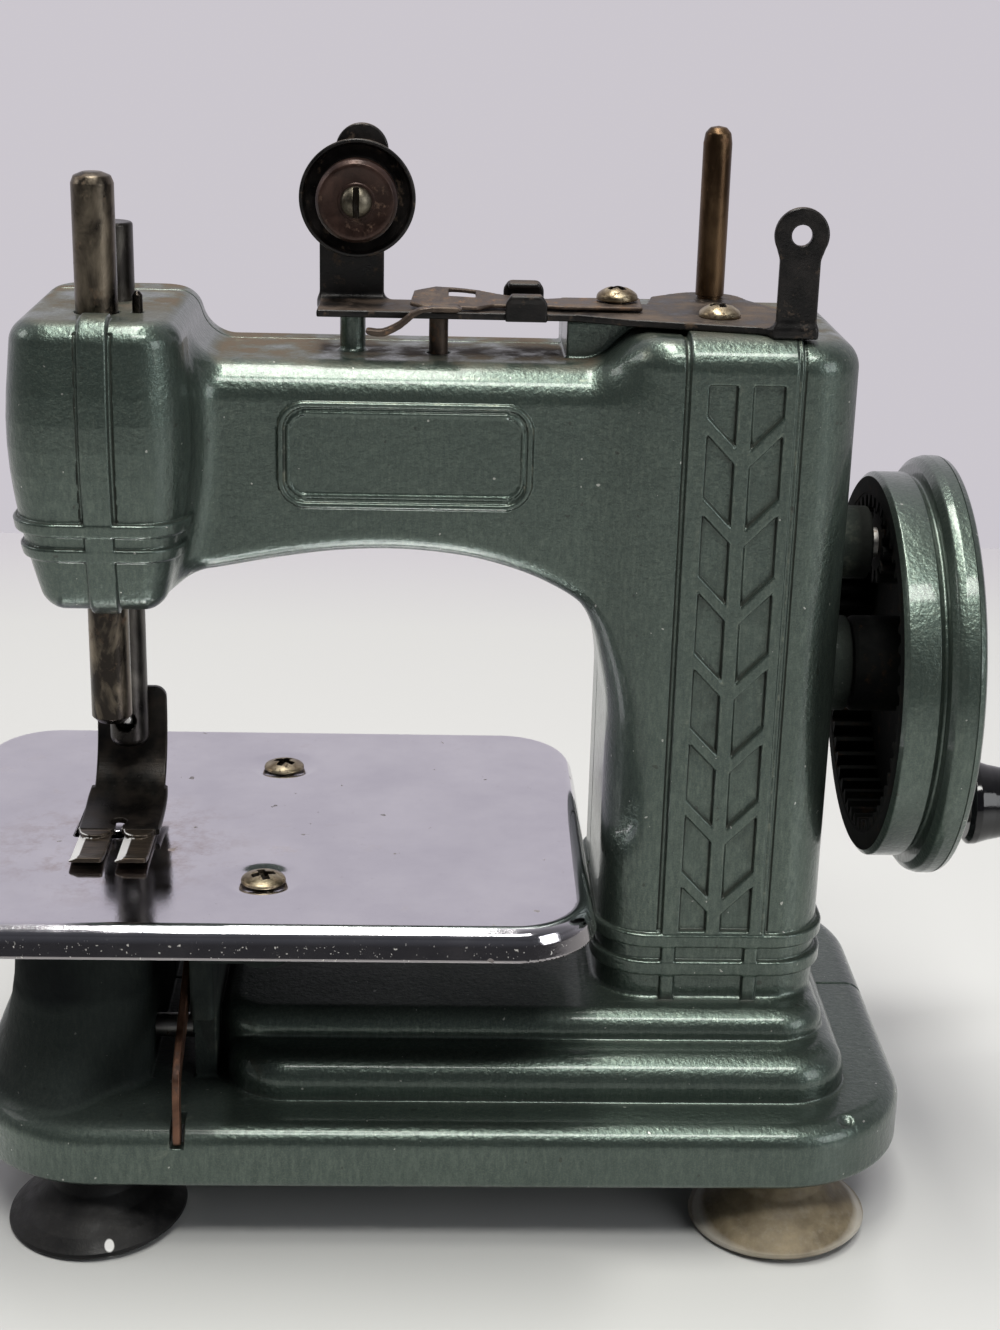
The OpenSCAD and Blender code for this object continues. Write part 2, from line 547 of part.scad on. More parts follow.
front_casting();
rear_casting();
casing_screws();
cloth_plate();
plate_screws();
thread_bracket();
bracket_screws();
spool_pin();
tension_disc_rear();
tension_disc_front();
tension_spring();
tension_cap();
tension_screw();
thread_clamp_spring();
release_pin();
head_pin();
shaft_bush();
handwheel_axle();
handwheel();
crank_pin();
crank_knob();
drive_pinion();
drive_shaft();
crank_disc();
drive_crank_pin();
beam_pivot();
rocker_beam();
beam_stud();
needle_bar();
needle_bar_collar();
collar_screw();
needle_clamp_screw();
presser_bar();
presser_collar();
presser_spring();
presser_foot();
presser_foot_screw();
link_rod();
looper_shaft();
looper_rocker();
looper();
feed_dog();
stitch_lever();
lever_pin();
foot_front_left();
foot_front_right();
foot_rear_left();
foot_rear_right();
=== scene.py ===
import math
import bpy
import numpy as np
from mathutils import Matrix, Vector


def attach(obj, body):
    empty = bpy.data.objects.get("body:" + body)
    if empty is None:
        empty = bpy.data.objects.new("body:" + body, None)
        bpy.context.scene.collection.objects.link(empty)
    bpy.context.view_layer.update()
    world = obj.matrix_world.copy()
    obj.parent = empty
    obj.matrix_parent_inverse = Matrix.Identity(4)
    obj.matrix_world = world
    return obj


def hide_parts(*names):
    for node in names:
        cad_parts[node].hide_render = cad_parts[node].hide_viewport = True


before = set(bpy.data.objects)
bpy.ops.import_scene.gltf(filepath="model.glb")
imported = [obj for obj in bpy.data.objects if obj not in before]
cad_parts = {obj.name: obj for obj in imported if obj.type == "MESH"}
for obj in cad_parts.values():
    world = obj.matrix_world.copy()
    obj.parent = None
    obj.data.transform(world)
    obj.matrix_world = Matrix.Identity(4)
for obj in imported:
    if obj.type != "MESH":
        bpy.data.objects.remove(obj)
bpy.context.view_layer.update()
NX, NY = 65.5, 14.25          # the needle bar's axis stands at (-NX, -NY) in the row frame, in mm
SEAM, MID = 22.1, 16.25
f32 = np.float32
rng = np.random.default_rng(7)


# ------------------------------------------------------------------ distance fields
def rr2(x, y, x0, x1, y0, y1, r):
    qx = np.abs(x - (x0 + x1) / 2) - ((x1 - x0) / 2 - r)
    qy = np.abs(y - (y0 + y1) / 2) - ((y1 - y0) / 2 - r)
    return np.hypot(np.maximum(qx, 0), np.maximum(qy, 0)) + np.minimum(np.maximum(qx, qy), 0) - r


def ext(a, b, r):
    """Intersection of two half-spaces-like distances with a rounded edge of radius r."""
    a, b = a + r, b + r
    return np.minimum(np.maximum(a, b), 0) + np.hypot(np.maximum(a, 0), np.maximum(b, 0)) - r


def span(v, a, b):
    return np.maximum(a - v, v - b)


def ur(a, b, r):
    if np.isscalar(r) and r <= 0:
        return np.minimum(a, b)
    return np.maximum(r, np.minimum(a, b)) - np.hypot(np.maximum(r - a, 0), np.maximum(r - b, 0))


def ir(a, b, r):
    if np.isscalar(r) and r <= 0:
        return np.maximum(a, b)
    return np.minimum(-r, np.maximum(a, b)) + np.hypot(np.maximum(r + a, 0), np.maximum(r + b, 0))


def sstep(a, b, x):
    t = np.clip((x - a) / (b - a), 0, 1)
    return t * t * (3 - 2 * t)


def poly2(x, y, pts):
    d = np.full(x.shape, 1e9, f32)
    s = np.zeros(x.shape, bool)
    n = len(pts)
    for i in range(n):
        (ax, ay), (bx, by) = pts[i], pts[i - 1]
        ex, ey = bx - ax, by - ay
        wx, wy = x - ax, y - ay
        t = np.clip((wx * ex + wy * ey) / (ex * ex + ey * ey), 0, 1)
        d = np.minimum(d, (wx - ex * t) ** 2 + (wy - ey * t) ** 2)
        if ey != 0:
            s ^= ((ay > y) != (by > y)) & (x < ex * (y - ay) / ey + ax)
    d = np.sqrt(d)
    return np.where(s, -d, d).astype(f32)


def spline(pts, n=6, closed=False):
    p = np.array(pts, float)
    out = []
    m = len(p)
    for i in range(m if closed else m - 1):
        a, b, c, d = (p[(i - 1) % m], p[i], p[(i + 1) % m], p[(i + 2) % m]) if closed else (p[max(i - 1, 0)], p[i], p[i + 1], p[min(i + 2, m - 1)])
        for k in range(n):
            t = k / n
            out.append(0.5 * ((2 * b) + (c - a) * t + (2 * a - 5 * b + 4 * c - d) * t * t + (3 * b - a - 3 * c + d) * t ** 3))
    if not closed:
        out.append(p[-1])
    return [tuple(q) for q in out]


def slab(x, y, z, x0, x1, y0, y1, z0, z1, R, rt, rb=None):
    r = rt if rb is None else np.where(z > (z0 + z1) / 2, rt, rb)
    return ext(rr2(x, y, x0, x1, y0, y1, R), span(z, z0, z1), r)


def bx(x, y, z, x0, x1, y0, y1, z0, z1, r=0.0):
    qx, qy, qz = (np.abs(v - (a + b) / 2) - ((b - a) / 2 - r) for v, a, b in ((x, x0, x1), (y, y0, y1), (z, z0, z1)))
    return np.sqrt(np.maximum(qx, 0) ** 2 + np.maximum(qy, 0) ** 2 + np.maximum(qz, 0) ** 2) + np.minimum(np.maximum(np.maximum(qx, qy), qz), 0) - r


def cx(x, y, z, x0, x1, cy, cz, R, r=0.0):
    return ext(np.hypot(y - cy, z - cz) - R, span(x, x0, x1), r)


def cyl(x, y, z, px, y0, y1, pz, R, r=0.0):
    return ext(np.hypot(x - px, z - pz) - R, span(y, y0, y1), r)


def cz(x, y, z, px, py, z0, z1, R, r=0.0):
    return ext(np.hypot(x - px, y - py) - R, span(z, z0, z1), r)


class Field:
    """A list of shapes that are added, cut or intersected in order, each only near its own box."""

    def __init__(self):
        self.ops = []

    def _op(self, kind, fn, x0, x1, y0, y1, z0, z1, r):
        self.ops.append((kind, fn, np.array([x0, y0, z0], f32), np.array([x1, y1, z1], f32), r))

    def add(self, fn, x0, x1, y0, y1, z0, z1, r=0.0):
        self._op(0, fn, x0, x1, y0, y1, z0, z1, r)

    def cut(self, fn, x0, x1, y0, y1, z0, z1, r=0.0):
        self._op(1, fn, x0, x1, y0, y1, z0, z1, r)

    def __call__(self, P, far=60.0):
        d = np.full(len(P), far, f32)
        lo, hi = P.min(0), P.max(0)
        for kind, fn, a, b, r in self.ops:
            m = 5.0 + 1.5 * (r if np.isscalar(r) else 6.0)
            if (lo > b + m).any() or (hi < a - m).any():
                continue
            if (lo >= a - m).all() and (hi <= b + m).all():
                Q, k = P, slice(None)
            else:
                k = np.flatnonzero(((P >= a - m) & (P <= b + m)).all(1))
                if not len(k):
                    continue
                Q = P[k]
            e = fn(Q[:, 0], Q[:, 1], Q[:, 2])
            d[k] = ur(d[k], e, r) if kind == 0 else ir(d[k], -e, r)
        return d


CORNER = np.array([[i & 1, i >> 1 & 1, i >> 2 & 1] for i in range(8)])
EDGES = [(a, b) for a in range(8) for b in range(a + 1, 8) if bin(a ^ b).count("1") == 1]


def surface(field, lo, hi, h, n=8):
    """Sparse surface nets of field over a box, then two projections onto the zero set. Points in mm, quads."""
    lo, hi = np.array(lo, float) - 2 * h, np.array(hi, float) + 2 * h
    nb = np.ceil((hi - lo) / (h * n)).astype(int)
    g = np.stack(np.meshgrid(*[np.arange(k) for k in nb], indexing="ij"), -1).reshape(-1, 3)
    c = (lo + (g + 0.5) * h * n).astype(f32)
    dc = np.concatenate([field(q) for q in np.array_split(c, max(1, len(c) // 20000))])
    g = g[np.abs(dc) < n * h * 0.87 * 1.35 + 0.2]
    off = np.stack(np.meshgrid(*[np.arange(n + 1)] * 3, indexing="ij"), -1).reshape(-1, 3)
    dims = nb * n + 2
    ids, pos, egrid = [], [], [[], [], []]
    for q in np.array_split(g, max(1, len(g) // 160)):
        I = (q[:, None, :] * n + off[None]).reshape(-1, 3)
        d = field((lo + I * h).astype(f32)).reshape(len(q), n + 1, n + 1, n + 1)
        corners = np.stack([d[:, a:a + n, b:b + n, e:e + n] for a, b, e in CORNER], -1)
        ins = corners < 0
        cnt = ins.sum(-1)
        act = np.argwhere((cnt > 0) & (cnt < 8))
        if not len(act):
            continue
        v = corners[act[:, 0], act[:, 1], act[:, 2], act[:, 3]]
        s = v < 0
        acc, num = np.zeros((len(v), 3)), np.zeros(len(v))
        for a, b in EDGES:
            m = s[:, a] != s[:, b]
            t = v[m, a] / (v[m, a] - v[m, b])
            acc[m] += CORNER[a] + t[:, None] * (CORNER[b] - CORNER[a])
            num[m] += 1
        cell = q[act[:, 0]] * n + act[:, 1:]
        pos.append(lo + (cell + acc / num[:, None]) * h)
        ids.append((cell[:, 0] * dims[1] + cell[:, 1]) * dims[2] + cell[:, 2])
        for ax, k in ((0, 1), (1, 2), (2, 4)):
            m = s[:, 0] != s[:, k]
            egrid[ax].append(np.stack([np.flatnonzero(m) + sum(len(x) for x in ids[:-1]), s[m, 0]], -1))
    ids, pos = np.concatenate(ids), np.concatenate(pos)
    order = np.argsort(ids)
    sid = ids[order]
    step = np.array([dims[1] * dims[2], dims[2], 1])
    quads = []
    for ax in range(3):
        e = np.concatenate(egrid[ax])
        b, cc = (ax + 1) % 3, (ax + 2) % 3
        base = ids[e[:, 0]]
        corner = [base, base - step[b], base - step[b] - step[cc], base - step[cc]]
        idx = []
        ok = np.ones(len(base), bool)
        for w in corner:
            p = np.clip(np.searchsorted(sid, w), 0, len(sid) - 1)
            ok &= sid[p] == w
            idx.append(order[p])
        qd = np.stack(idx, -1)[ok]
        flip = e[ok, 1] == 0
        qd[flip] = qd[flip][:, ::-1]
        quads.append(qd)
    quads = np.concatenate(quads)
    for _ in range(2):
        d, gr = gradient(field, pos)
        stepv = np.clip(d / np.maximum((gr * gr).sum(1), 0.2), -0.6 * h, 0.6 * h)
        pos = pos - gr * stepv[:, None]
    return pos, quads


TET = np.array([[1, -1, -1], [-1, -1, 1], [-1, 1, -1], [1, 1, 1]], f32)


def gradient(field, pos, eps=0.04):
    ds, gs = [], []
    for p in np.array_split(pos.astype(f32), max(1, len(pos) // 30000)):
        v = [field(p + eps * k) for k in TET]
        gs.append(sum(a[:, None] * k for a, k in zip(v, TET)) / (4 * eps))
        ds.append(sum(v) / 4)
    return np.concatenate(ds).astype(float), np.concatenate(gs).astype(float)


# ------------------------------------------------------------------ meshes
def to_row(V):
    V = np.array(V, float).copy()
    V[:, 0] -= NX
    V[:, 1] -= NY
    return V / 1000


def add_mesh(name, V, faces, body, mat, stands=(), smooth=True, normals=None, attrs=None):
    me = bpy.data.meshes.new(name)
    faces = [tuple(int(i) for i in q) for q in faces] if not isinstance(faces, np.ndarray) else faces
    if isinstance(faces, np.ndarray):
        k = faces.shape[1]
        me.vertices.add(len(V))
        me.vertices.foreach_set("co", to_row(V).astype(f32).ravel())
        me.loops.add(faces.size)
        me.loops.foreach_set("vertex_index", faces.astype(np.int32).ravel())
        me.polygons.add(len(faces))
        me.polygons.foreach_set("loop_start", np.arange(0, faces.size, k, dtype=np.int32))
        me.update(calc_edges=True)
        me.validate()
    else:
        me.from_pydata([tuple(v) for v in to_row(V)], [], faces)
        me.update()
    o = bpy.data.objects.new(name, me)
    bpy.context.scene.collection.objects.link(o)
    if smooth:
        me.polygons.foreach_set("use_smooth", np.ones(len(me.polygons), bool))
    for key, val in (attrs or {}).items():
        me.attributes.new(key, "FLOAT", "POINT").data.foreach_set("value", np.asarray(val, f32))
    if normals is not None:
        me.normals_split_custom_set_from_vertices(normals.tolist())
    me.materials.append(mat)
    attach(o, body)
    if stands:
        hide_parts(*stands)
    return o


def solid(name, field, lo, hi, h, body, mat, stands=(), target=None, relief=0.0, extra=None):
    """A piece whose skin is the zero set of a field, thinned where it is flat, with exact normals."""
    V, Q = surface(field, lo, hi, h)
    me = bpy.data.meshes.new(name + "_raw")
    me.vertices.add(len(V))
    me.vertices.foreach_set("co", V.astype(f32).ravel())
    me.loops.add(Q.size)
    me.loops.foreach_set("vertex_index", Q.astype(np.int32).ravel())
    me.polygons.add(len(Q))
    me.polygons.foreach_set("loop_start", np.arange(0, Q.size, 4, dtype=np.int32))
    me.update(calc_edges=True)
    tris = 2 * len(Q)
    if target and tris > target:
        o = bpy.data.objects.new(name + "_raw", me)
        bpy.context.scene.collection.objects.link(o)
        m = o.modifiers.new("thin", "DECIMATE")
        m.ratio = target / tris
        ev = o.evaluated_get(bpy.context.evaluated_depsgraph_get())
        thin = bpy.data.meshes.new_from_object(ev)
        bpy.data.objects.remove(o)
        bpy.data.meshes.remove(me)
        me = thin
    V = np.empty(len(me.vertices) * 3, f32)
    me.vertices.foreach_get("co", V)
    V = V.reshape(-1, 3).astype(float)
    me.calc_loop_triangles()
    T = np.empty(len(me.loop_triangles) * 3, np.int32)
    me.loop_triangles.foreach_get("vertices", T)
    T = T.reshape(-1, 3)
    bpy.data.meshes.remove(me)
    d, g = gradient(field, V)
    n = g / np.maximum(np.linalg.norm(g, axis=1), 1e-6)[:, None]
    attrs = {}
    if relief:
        def probe(off):
            q = (V + n * off).astype(f32)
            return np.concatenate([field(p) for p in np.array_split(q, max(1, len(q) // 30000))])
        attrs["hollow"] = np.clip(1 - probe(relief) / relief, 0, 1)
        attrs["edge"] = np.clip(1 + probe(-relief * 0.6) / (relief * 0.6), 0, 1)
    if extra:
        attrs.update(extra(V, n))
    return add_mesh(name, V, T, body, mat, stands, True, n, attrs)


def lathe(name, prof, axis, at, body, mat, stands=(), seg=96, close=False, a0=0.0):
    """Turned piece: prof is [(radius, along)], about the axis through at. Corners sharper than 38 degrees are kept
    crisp by marking their edges sharp.
    """
    P = []
    for i, (r, t) in enumerate(prof):
        P.append((r, t))
    ang = a0 + np.arange(seg) * 2 * np.pi / seg
    V, faces = [], []
    for r, t in P:
        for a in ang:
            u, w = r * math.cos(a), r * math.sin(a)
            V.append({"x": (t, at[0] + u, at[1] + w), "y": (at[0] + u, t, at[1] + w), "z": (at[0] + u, at[1] + w, t)}[axis])
    m = len(P)
    for i in range(m - (0 if close else 1)):
        j = (i + 1) % m
        for k in range(seg):
            l = (k + 1) % seg
            q = (i * seg + k, i * seg + l, j * seg + l, j * seg + k)
            faces.append(q)
    if not close:
        for i, rev in ((0, True), (m - 1, False)):
            if P[i][0] > 1e-6:
                ring = [i * seg + k for k in range(seg)]
                faces.append(tuple(ring[::-1] if rev else ring))
    o = add_mesh(name, np.array(V), faces, body, mat, stands)
    me = o.data
    import bmesh
    bm = bmesh.new()
    bm.from_mesh(me)
    bmesh.ops.remove_doubles(bm, verts=bm.verts, dist=1e-7)
    bmesh.ops.recalc_face_normals(bm, faces=bm.faces)
    bm.to_mesh(me)
    bm.free()
    me.polygons.foreach_set("use_smooth", np.ones(len(me.polygons), bool))
    me.set_sharp_from_angle(angle=math.radians(38))
    return o


def round_prof(pts, n=4):
    """Profile corners given as (r, t, radius) are rounded with arcs."""
    out = []
    m = len(pts)
    for i, p in enumerate(pts):
        rad = p[2] if len(p) > 2 else 0
        a, b = np.array(p[:2], float), None
        if rad and 0 < i < m - 1:
            u = np.array(pts[i - 1][:2], float) - a
            w = np.array(pts[i + 1][:2], float) - a
            lu, lw = np.linalg.norm(u), np.linalg.norm(w)
            u, w = u / lu, w / lw
            ang = math.acos(max(-1, min(1, float(u @ w))))
            cut = min(rad / math.tan(ang / 2), lu * 0.49, lw * 0.49)
            rad = cut * math.tan(ang / 2)
            bis = (u + w) / np.linalg.norm(u + w)
            c = a + bis * rad / math.sin(ang / 2)
            s, e = a + u * cut - c, a + w * cut - c
            th0, th1 = math.atan2(s[1], s[0]), math.atan2(e[1], e[0])
            dth = (th1 - th0 + math.pi) % (2 * math.pi) - math.pi
            for k in range(n + 1):
                t = th0 + dth * k / n
                out.append((c[0] + rad * math.cos(t), c[1] + rad * math.sin(t)))
        else:
            out.append((a[0], a[1]))
    return [(max(0.0, r), t) for r, t in out]


# ------------------------------------------------------------------ materials
class Mat:
    def __init__(self, name):
        self.m = bpy.data.materials.new(name)
        self.m.use_nodes = True
        self.t = self.m.node_tree
        self.t.nodes.clear()
        self.out = self.t.nodes.new("ShaderNodeOutputMaterial")
        self.b = self.t.nodes.new("ShaderNodeBsdfPrincipled")
        self.t.links.new(self.b.outputs[0], self.out.inputs[0])
        self.co = self.t.nodes.new("ShaderNodeTexCoord").outputs["Object"]

    def link(self, a, b):
        self.t.links.new(a, b)

    def put(self, sock, v):
        if hasattr(v, "links"):
            self.link(v, sock)
        elif v is not None:
            sock.default_value = v

    def set(self, **kw):
        for k, v in kw.items():
            self.put(self.b.inputs[k.replace("_", " ")], v)

    def stretch(self, s):
        n = self.t.nodes.new("ShaderNodeMapping")
        self.link(self.co, n.inputs["Vector"])
        n.inputs["Scale"].default_value = s
        return n.outputs[0]

    def noise(self, scale, detail=3.0, rough=0.55, vec=None, distortion=0.0):
        n = self.t.nodes.new("ShaderNodeTexNoise")
        self.link(vec or self.co, n.inputs["Vector"])
        n.inputs["Scale"].default_value = scale
        n.inputs["Detail"].default_value = detail
        n.inputs["Roughness"].default_value = rough
        n.inputs["Distortion"].default_value = distortion
        return n.outputs["Fac"]

    def voronoi(self, scale, vec=None, feature="F1"):
        n = self.t.nodes.new("ShaderNodeTexVoronoi")
        n.feature = feature
        self.link(vec or self.co, n.inputs["Vector"])
        n.inputs["Scale"].default_value = scale
        return n.outputs["Distance"]

    def attr(self, name):
        n = self.t.nodes.new("ShaderNodeAttribute")
        n.attribute_name = name
        return n.outputs["Fac"]

    def ramp(self, fac, stops, interp="LINEAR"):
        n = self.t.nodes.new("ShaderNodeValToRGB")
        n.color_ramp.interpolation = interp
        e = n.color_ramp.elements
        while len(e) < len(stops):
            e.new(0.5)
        for el, (p, c) in zip(e, stops):
            el.position = p
            el.color = (c, c, c, 1) if not hasattr(c, "__len__") else (*c, 1)
        self.link(fac, n.inputs[0])
        return n.outputs[0]

    def math(self, op, a, b=None, c=None, clamp=False):
        n = self.t.nodes.new("ShaderNodeMath")
        n.operation = op
        n.use_clamp = clamp
        for s, v in zip(n.inputs, (a, b, c)):
            self.put(s, v)
        return n.outputs[0]

    def mix(self, fac, a, b, mode="MIX"):
        n = self.t.nodes.new("ShaderNodeMix")
        n.data_type = "RGBA"
        n.blend_type = mode
        self.put(n.inputs[0], fac)
        for s, v in ((n.inputs[6], a), (n.inputs[7], b)):
            self.put(s, (*v, 1) if isinstance(v, tuple) and len(v) == 3 else v)
        return n.outputs[2]

    def bump(self, height, strength, dist, normal=None):
        n = self.t.nodes.new("ShaderNodeBump")
        n.inputs["Strength"].default_value = strength
        n.inputs["Distance"].default_value = dist
        self.link(height, n.inputs["Height"])
        if normal is not None:
            self.link(normal, n.inputs["Normal"])
        return n.outputs[0]

    def axis(self, i):
        n = self.t.nodes.new("ShaderNodeSeparateXYZ")
        self.link(self.co, n.inputs[0])
        return n.outputs[i]

    def facing_up(self):
        g = self.t.nodes.new("ShaderNodeNewGeometry")
        n = self.t.nodes.new("ShaderNodeSeparateXYZ")
        self.link(g.outputs["Normal"], n.inputs[0])
        return n.outputs[2]


def paint(name, body=True):
    m = Mat(name)
    streak = m.noise(1.0, 4, 0.62, m.stretch((1700, 1700, 420)))
    fleck = m.noise(3800, 2, 0.7)
    cloud = m.noise(28, 3, 0.6)
    s = m.ramp(streak, [(0.28, (0.054, 0.075, 0.066)), (0.52, (0.076, 0.102, 0.088)), (0.76, (0.116, 0.146, 0.122))])
    s = m.mix(m.ramp(fleck, [(0.45, 0.0), (0.75, 0.30)]), s, (0.22, 0.25, 0.195))
    s = m.mix(m.ramp(cloud, [(0.35, 0.0), (0.7, 0.4)]), s, (0.050, 0.070, 0.062))
    chips = m.ramp(m.noise(420, 2, 0.5), [(0.735, 0.0), (0.75, 1.0)])
    specks = m.ramp(m.noise(900, 1, 0.5), [(0.785, 0.0), (0.795, 1.0)])
    s = m.mix(m.math("MULTIPLY", chips, 0.55), s, (0.035, 0.035, 0.03))
    s = m.mix(m.math("MULTIPLY", specks, 0.6), s, (0.62, 0.62, 0.58))
    rough = m.ramp(streak, [(0.25, 0.41), (0.75, 0.28)])
    metal, coat, spec = 0.82, 0.55, 0.5
    if body:
        hol = m.attr("hollow")
        edg = m.attr("edge")
        # darker in the hollows and recesses, broken up by noise
        hollow_dark = m.ramp(m.math("ADD", hol, m.math("MULTIPLY", m.math("SUBTRACT", m.noise(260, 4, 0.6), 0.5), 0.5)), [(0.50, 0.0), (0.86, 0.7)])
        s = m.mix(hollow_dark, s, (0.022, 0.021, 0.017))
        up = m.ramp(m.facing_up(), [(0.80, 0.0), (0.98, 1.0)])
        hi = m.ramp(m.math("ADD", m.axis(2), 0.0), [(0.128, 0.0), (0.136, 1.0)])
        dust = m.math("MULTIPLY", m.math("MULTIPLY", up, hi), m.ramp(m.noise(150, 5, 0.65), [(0.34, 0.0), (0.58, 0.95)]))
        dust = m.math("MULTIPLY", dust, m.ramp(m.math("ADD", m.axis(1), 0.1), [(0.0855, 0.45), (0.095, 1.0)]))
        s = m.mix(dust, s, (0.085, 0.058, 0.036))
        worn = m.math("MULTIPLY", m.ramp(edg, [(0.45, 0.0), (0.85, 1.0)]), m.ramp(m.noise(500, 3, 0.6), [(0.5, 0.0), (0.72, 0.5)]))
        s = m.mix(worn, s, (0.42, 0.44, 0.34))
        # bosses inside the handwheel near black: partly dirt on them, partly painted shade inside the wheel
        boss = m.math("MULTIPLY", m.ramp(m.axis(0), [(0.0503, 0.0), (0.0512, 1.0)]), m.ramp(m.axis(2), [(0.070, 0.0), (0.074, 1.0)]))
        s = m.mix(boss, s, (0.010, 0.011, 0.010))
        # painted shadow of the cloth plate: near black on the bed, web and step tops beneath it, and on the left bed
        # down to the rail
        plate_shadow = m.math("MULTIPLY", m.ramp(m.axis(2), [(0.0315, 0.0), (0.0365, 1.0), (0.0565, 1.0), (0.058, 0.0)]), m.ramp(m.axis(0), [(0.0095, 1.0), (0.0125, 0.0)]))
        plate_shadow = m.math("MULTIPLY", plate_shadow, m.ramp(m.noise(60, 4, 0.6), [(0.3, 0.78), (0.7, 0.96)]))
        left = m.math("MULTIPLY", m.ramp(m.axis(2), [(0.0215, 0.0), (0.0232, 0.8), (0.0565, 0.8), (0.058, 0.0)]), m.ramp(m.math("ADD", m.axis(0), 0.1), [(0.0505, 1.0), (0.0545, 0.0)]))
        plate_shadow = m.math("MAXIMUM", plate_shadow, left)
        s = m.mix(plate_shadow, s, (0.008, 0.009, 0.010))
        dull = m.math("MAXIMUM", m.math("MAXIMUM", hollow_dark, dust), m.math("MAXIMUM", boss, plate_shadow))
        rough = m.mix(dull, rough, (0.8, 0.8, 0.8))
        metal = m.ramp(dull, [(0.0, 0.82), (1.0, 0.1)])
        coat = m.ramp(dull, [(0.0, 0.55), (0.7, 0.0)])
        spec = m.ramp(m.math("MAXIMUM", boss, plate_shadow), [(0.0, 0.5), (0.9, 0.06)])
    m.set(Base_Color=s, Metallic=metal, Roughness=rough, Coat_Weight=coat, Specular_IOR_Level=spec, Coat_Roughness=0.10, Coat_IOR=1.45)
    h = m.bump(m.noise(1250, 3, 0.62), 0.30, 0.0004)
    h = m.bump(m.noise(430, 3, 0.55), 0.14, 0.0006, h)
    h = m.bump(m.noise(1.0, 3, 0.6, m.stretch((900, 900, 300))), 0.10, 0.0004, h)
    h = m.bump(m.noise(60, 2, 0.5), 0.10, 0.0012, h)
    m.link(h, m.b.inputs["Normal"])
    return m.m


def metal(name, base, alt, rough=(0.25, 0.5), scale=300, stretch=(1, 1, 1), rust=0.0, rust_col=(0.14, 0.06, 0.025), bump=0.1, metallic=1.0, thr=(0.4, 0.7), fine=2500, recess_shade=False, dust=0.0):
    m = Mat(name)
    v = m.stretch(stretch)
    n = m.noise(scale, 5, 0.62, v, 0.4)
    c = m.mix(m.ramp(n, [(thr[0], 0.0), (thr[1], 1.0)]), base, alt)
    r = m.ramp(n, [(0.3, rough[0]), (0.7, rough[1])])
    mt = metallic
    if rust:
        k = m.ramp(m.noise(scale * 1.7, 6, 0.7), [(0.62 - 0.2 * rust, 0.0), (0.74 - 0.2 * rust, 1.0)])
        c = m.mix(k, c, rust_col)
        r = m.mix(k, r, (0.85, 0.85, 0.85))
        mt = m.ramp(k, [(0.0, metallic), (1.0, 0.15)])
    # painted shade: near black inside the screw heads' slots and cross recesses
    if recess_shade:
        c = m.mix(m.ramp(m.attr("recess_shade"), [(0.3, 0.0), (0.7, 0.95)]), c, (0.012, 0.009, 0.007))
    if dust:
        k = m.math("MULTIPLY", m.ramp(m.facing_up(), [(0.75, 0.0), (0.97, 1.0)]), m.ramp(m.noise(170, 5, 0.65), [(0.36, 0.0), (0.64, dust)]))
        c = m.mix(k, c, (0.105, 0.072, 0.050))
        r = m.mix(k, r, (0.9, 0.9, 0.9))
        mt = m.math("MULTIPLY", mt, m.math("SUBTRACT", 1.0, k))
    m.set(Base_Color=c, Metallic=mt, Roughness=r)
    h = m.bump(m.noise(fine, 3, 0.6), bump, 0.0002)
    m.link(h, m.b.inputs["Normal"])
    return m.m


def rubber(name, c0, c1, dusty=0.3, rim=None, spot=None):
    m = Mat(name)
    n = m.noise(220, 5, 0.6)
    c = m.mix(m.ramp(n, [(0.35, 0.0), (0.7, 1.0)]), c0, c1)
    d = m.math("MULTIPLY", m.ramp(m.noise(700, 4, 0.7), [(0.5, 0.0), (0.75, dusty)]), m.ramp(m.facing_up(), [(0.1, 0.0), (0.8, 1.0)]))
    c = m.mix(d, c, (0.32, 0.30, 0.26))
    if rim:
        dx = m.math("SUBTRACT", m.axis(0), rim[0])
        dy = m.math("SUBTRACT", m.math("ABSOLUTE", m.axis(1)), rim[1])
        rad = m.math("MULTIPLY", m.math("SQRT", m.math("ADD", m.math("MULTIPLY", dx, dx), m.math("MULTIPLY", dy, dy))), 50.0)
        rad = m.math("ADD", rad, m.math("MULTIPLY", m.math("SUBTRACT", m.noise(180, 3, 0.5), 0.5), 0.04))
        c = m.mix(m.ramp(rad, [(0.60, 0.0), (0.65, 0.75), (0.69, 0.75), (0.705, 0.2)]), c, (0.46, 0.435, 0.385))
    if spot:
        dx = m.math("SUBTRACT", m.axis(0), spot[0])
        dy = m.math("SUBTRACT", m.axis(1), spot[1])
        rad = m.math("MULTIPLY", m.math("SQRT", m.math("ADD", m.math("MULTIPLY", dx, dx), m.math("MULTIPLY", dy, dy))), 200.0)
        c = m.mix(m.ramp(rad, [(0.13, 0.9), (0.165, 0.0)]), c, (0.75, 0.75, 0.74))
    m.set(Base_Color=c, Roughness=m.ramp(n, [(0.3, 0.42), (0.7, 0.68)]), Specular_IOR_Level=0.28)
    h = m.bump(m.noise(1800, 3, 0.6), 0.2, 0.0002)
    m.link(h, m.b.inputs["Normal"])
    return m.m


